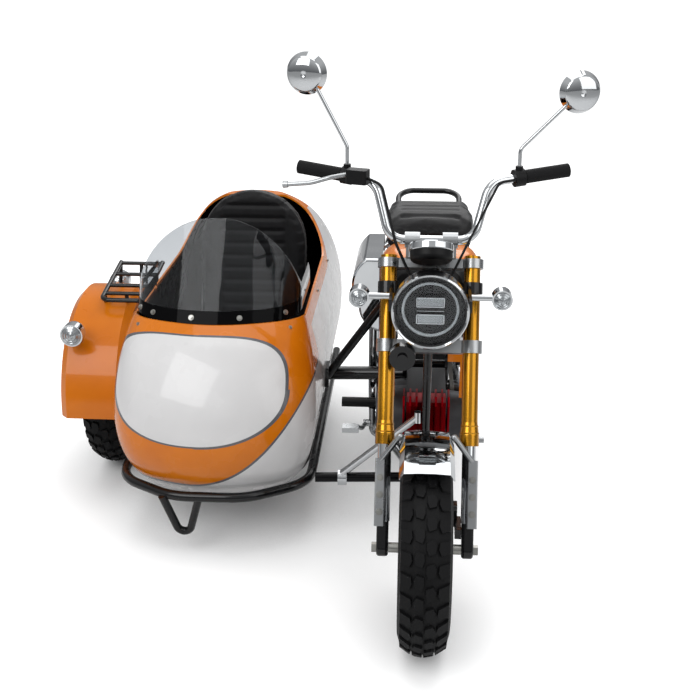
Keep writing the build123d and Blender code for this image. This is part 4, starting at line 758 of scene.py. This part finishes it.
# Headlamp: a bright bezel, a light ring and two framed units behind the glass
LAMP_PLACE = at(0, 0.100, 0.800)
LAMP_RINGS = (
    # name, surface, slot, inner radius, outer radius, distance behind the face, thickness
    ("headlamp_bezel", "polished_chrome_plate", "lamp_shell", 0.0825, 0.0885, -0.003, 0.010),
    ("headlamp_light_ring", "clear_lens_over_reflector", "lamp_shell", 0.0585, 0.0665, 0.022, 0.004),
)
for name, surface, slot, inner, outer, behind, thickness in LAMP_RINGS:
    mesh = bmesh.new()
    corner = thickness * 0.3
    spun(mesh, LAMP_PLACE, (0, 1, 0), (
        (inner, behind + corner), (inner + corner, behind), (outer - corner, behind),
        (outer, behind + corner), (outer, behind + thickness), (inner, behind + thickness),
    ), 72)
    piece_from(name, mesh, surface, "steering")
UNIT_HALF_WIDTH, UNIT_HALF_HEIGHT, UNIT_SPACING = 0.031, 0.0105, 0.040
UNIT_FRAME, UNIT_FRAME_BEHIND, UNIT_FRAME_HALF = 0.0022, 0.0145, 0.0015
UNIT_BARS = (
    # middle of a bar of the frame across and up, its half width, its half height
    (0, UNIT_HALF_HEIGHT, UNIT_HALF_WIDTH, UNIT_FRAME / 2),
    (0, -UNIT_HALF_HEIGHT, UNIT_HALF_WIDTH, UNIT_FRAME / 2),
    (UNIT_HALF_WIDTH, 0, UNIT_FRAME / 2, UNIT_HALF_HEIGHT),
    (-UNIT_HALF_WIDTH, 0, UNIT_FRAME / 2, UNIT_HALF_HEIGHT),
)
STRIP_LOW, STRIP_HIGH = Vector((-0.031, 0.0135, -0.001)), Vector((0.031, 0.0165, 0.0002))
UNIT_LENS_BEHIND = 0.0152
UNIT_LENS_REACH = Vector((0.029, 0.0007, 0.009))
mesh = bmesh.new()
for level in (-0.5, 0.5):
    middle = LAMP_PLACE + Vector((0, UNIT_FRAME_BEHIND, level * UNIT_SPACING))
    for across, up, half_width, half_height in UNIT_BARS:
        spot = middle + Vector((across, 0, up))
        reach = Vector((half_width, UNIT_FRAME_HALF, half_height))
        boxed(mesh, spot - reach, spot + reach)
boxed(mesh, LAMP_PLACE + STRIP_LOW, LAMP_PLACE + STRIP_HIGH)
piece_from("headlamp_unit_frames", mesh, "polished_chrome_plate", "steering")
mesh = bmesh.new()
for level in (-0.5, 0.5):
    middle = LAMP_PLACE + Vector((0, UNIT_LENS_BEHIND, level * UNIT_SPACING))
    boxed(mesh, middle - UNIT_LENS_REACH, middle + UNIT_LENS_REACH)
piece_from("headlamp_unit_lenses", mesh, "clear_lens_over_reflector", "steering")

# Lamp lenses, each a shallow dome with moulded rings; sections are shares of the lens's radius
LENS_SECTION = (
    (0.004, 0.0), (1.0, 0.0), (1.0, 0.06), (0.8, 0.16), (0.74, 0.11), (0.54, 0.22), (0.47, 0.16),
    (0.24, 0.26), (0.2, 0.21), (0.004, 0.28),
)
CLEAR_LENS = "clear_lens_over_reflector"
FORWARDS, BACKWARDS = (0, -1, 0), (0, 1, 0)
INDICATOR_RADIUS, SIDECAR_LENS_RADIUS, TAIL_RADIUS = 0.0195, 0.0290, 0.0330
LENSES = (
    # name, body, surface, centre of the lens's foot, direction, radius
    ("front_indicator_lens_right", "steering", CLEAR_LENS, at(-0.166, 0.1702, 0.808), FORWARDS,
     INDICATOR_RADIUS),
    ("front_indicator_lens_left", "steering", CLEAR_LENS, at(0.166, 0.1702, 0.808), FORWARDS,
     INDICATOR_RADIUS),
    ("sidecar_front_lens", "root", CLEAR_LENS, at(-1.021, 0.6590, 0.5119), FORWARDS, SIDECAR_LENS_RADIUS),
    ("sidecar_rear_lens", "root", "amber_lens", at(-1.021, 1.2280, 0.5047), BACKWARDS, SIDECAR_LENS_RADIUS),
    ("tail_lens", "root", "red_lens", at(0, 1.3522, 0.620), BACKWARDS, TAIL_RADIUS),
    ("rear_indicator_lens_right", "root", "amber_lens", at(-0.116, 1.3400, 0.620), BACKWARDS,
     INDICATOR_RADIUS),
    ("rear_indicator_lens_left", "root", "amber_lens", at(0.116, 1.3400, 0.620), BACKWARDS,
     INDICATOR_RADIUS),
)
for name, body, surface, foot, direction, radius in LENSES:
    mesh = bmesh.new()
    spun(mesh, foot, direction, [(share * radius, rise * radius) for share, rise in LENS_SECTION], 40)
    piece_from(name, mesh, surface, body)

# Gauge: a bright band round the top of its housing
GAUGE_LEAN = radians(28)
GAUGE_PLACE = at(0, 0.232, 0.922)
mesh = bmesh.new()
spun(mesh, GAUGE_PLACE, (0, sin(GAUGE_LEAN), cos(GAUGE_LEAN)), (
    (0.0496, -0.017), (0.0512, -0.017), (0.0520, -0.015), (0.0520, -0.002), (0.0508, 0.001),
    (0.0470, 0.001), (0.0462, -0.001), (0.0496, -0.004),
), 64)
piece_from("gauge_band", mesh, "polished_chrome_plate", "steering")

# Fork: raised rings round the flare of each outer tube
FORK_RINGS = (
    # distance along the leg from the axle, radius of the tube there
    (0.273, 0.0226), (0.290, 0.0206),
)
LEG_X = 0.0996
RING_HALF, RING_ROOT, RING_EDGE, RING_CROWN = 0.0016, -0.002, 0.0006, 0.0013
mesh = bmesh.new()
leg_direction = Vector((0, sin(FORK_LEAN), cos(FORK_LEAN)))
for side in (-1, 1):
    for along, tube_radius in FORK_RINGS:
        ring_place = at(side * LEG_X, 0, AXLE_HEIGHT) + leg_direction * along
        spun(mesh, ring_place, leg_direction, (
            (tube_radius + RING_ROOT, -RING_HALF), (tube_radius + RING_EDGE, -RING_HALF),
            (tube_radius + RING_CROWN, 0), (tube_radius + RING_EDGE, RING_HALF),
            (tube_radius + RING_ROOT, RING_HALF),
        ))
piece_from("fork_rings", mesh, "gold_anodised_tube", "steering")

# Mirrors: the domed back of each shell
MIRROR_BACKS = (
    # centre of the head, yaw of the glass in degrees
    (at(-0.303, 0.400, 1.289), -12),
    (at(0.339, 0.400, 1.251), 12),
)
mesh = bmesh.new()
for head, yaw in MIRROR_BACKS:
    spun(mesh, head, (sin(radians(yaw)), -cos(radians(yaw)), 0), (
        (0.0001, 0.0170), (0.0418, 0.0170), (0.0416, 0.0182), (0.0370, 0.0212), (0.0290, 0.0240),
        (0.0190, 0.0260), (0.0095, 0.0270), (0.0001, 0.0273),
    ), 56)
mirror_backs = piece_from("mirror_backs", mesh, "polished_chrome_plate", "steering")
for polygon in mirror_backs.data.polygons:
    polygon.use_smooth = True

# Lights and floor
floor_data = bpy.data.meshes.new("floor")
floor_mesh = bmesh.new()
bmesh.ops.create_grid(floor_mesh, x_segments=1, y_segments=1, size=30)
floor_mesh.to_mesh(floor_data)
floor_mesh.free()
floor = bpy.data.objects.new("floor", floor_data)
bpy.context.collection.objects.link(floor)
# The camera sees the floor with a share of white added, so that it ends white except in shadow: the lamps'
# own shadows, and a painted shadow where ambient occlusion near the object cuts the added white
FLOOR_GLOW = 0.72
PAINTED_SHADOW_REACH = 0.55                  # distance over which the object keeps the white off the floor, the reach of its painted shadow
PAINTED_SHADOW_POWER = 1.6
FLOOR_SPECULAR = 0.15
floor_material, floor_tree, floor_shader, floor_place = new_surface("white_studio_floor")
floor_broad = surface_detail(floor_tree, floor_shader, floor_place, 40.0, 0.02, 0.8, 0.05)
floor_colour = layered(floor_tree, linear("DEDEDE"), [(floor_broad, linear("E2E2E2"))])
floor_tree.links.new(floor_colour, floor_shader.inputs["Base Color"])
floor_shader.inputs["Specular IOR Level"].default_value = FLOOR_SPECULAR
floor_values = {
    "seen": add_node(floor_tree, "ShaderNodeLightPath").outputs["Is Camera Ray"],
    "open": add_node(
        floor_tree, "ShaderNodeAmbientOcclusion", {"samples": 12}, Distance=PAINTED_SHADOW_REACH
    ).outputs["AO"],
}
# A painted shadow: ambient occlusion near the object takes the camera's added white off the floor
worked_out(floor_tree, floor_values, (
    ("outside_painted_shadow", "POWER", "open", PAINTED_SHADOW_POWER), ("seen_outside_painted_shadow", "MULTIPLY", "seen", "outside_painted_shadow"),
    ("glow", "MULTIPLY", "seen_outside_painted_shadow", FLOOR_GLOW),
))
floor_shader.inputs["Emission Color"].default_value = linear("FFFFFF")
floor_tree.links.new(floor_values["glow"], floor_shader.inputs["Emission Strength"])
floor_data.materials.append(floor_material)

LAMPS = (
    # name, place, size, watts
    ("key_lamp", at(-2.2, -2.4, 3.4), 2.6, 78),
    ("fill_lamp", at(2.6, -1.6, 2.6), 3.0, 40),
    ("back_lamp", at(0.3, 3.6, 3.2), 2.6, 60),
    ("top_lamp", at(-0.3, 0.7, 4.2), 3.2, 50),
)
LAMP_TARGET = at(-0.3, 0.7, 0.5)
for name, place, size, watts in LAMPS:
    data = bpy.data.lights.new(name, "AREA")
    data.size = size
    data.energy = watts
    lamp = bpy.data.objects.new(name, data)
    lamp.location = place
    lamp.rotation_euler = (LAMP_TARGET - place).to_track_quat("-Z", "Y").to_euler()
    bpy.context.collection.objects.link(lamp)

# Studio: white where the camera looks past the object or through its glass; for everything else a
# room that is light overhead and darker towards the floor, so that bright metal has contrast
ROOM_STRENGTH = 0.67
ROOM_LOW, ROOM_HIGH = -0.1, 0.55    # rise of a direction, -1 to 1, where the gradient starts and ends
world = bpy.data.worlds.new("studio")
bpy.context.scene.world = world
world.use_nodes = True
room = world.node_tree
room_light = room.nodes["Background"]
sight = add_node(room, "ShaderNodeTexCoord").outputs["Generated"]
upwards = add_node(room, "ShaderNodeSeparateXYZ", Vector=sight)
share = add_node(
    room, "ShaderNodeMapRange", Value=upwards.outputs["Z"], From_Min=ROOM_LOW, From_Max=ROOM_HIGH,
    To_Min=0.0, To_Max=1.0,
).outputs[0]
room.links.new(layered(room, linear("6A6C70"), [(share, linear("F4F5F6"))]), room_light.inputs["Color"])
room_light.inputs["Strength"].default_value = ROOM_STRENGTH
ray = add_node(room, "ShaderNodeLightPath")
straight = add_node(
    room, "ShaderNodeMath", {"operation": "MAXIMUM"},
    i0=ray.outputs["Is Camera Ray"], i1=ray.outputs["Is Transmission Ray"],
).outputs[0]
white = add_node(room, "ShaderNodeBackground", Color=linear("FFFFFF"), Strength=1.0)
both = add_node(room, "ShaderNodeMixShader", i0=straight, i1=room_light.outputs[0], i2=white.outputs[0])
room.links.new(both.outputs[0], room.nodes["World Output"].inputs["Surface"])
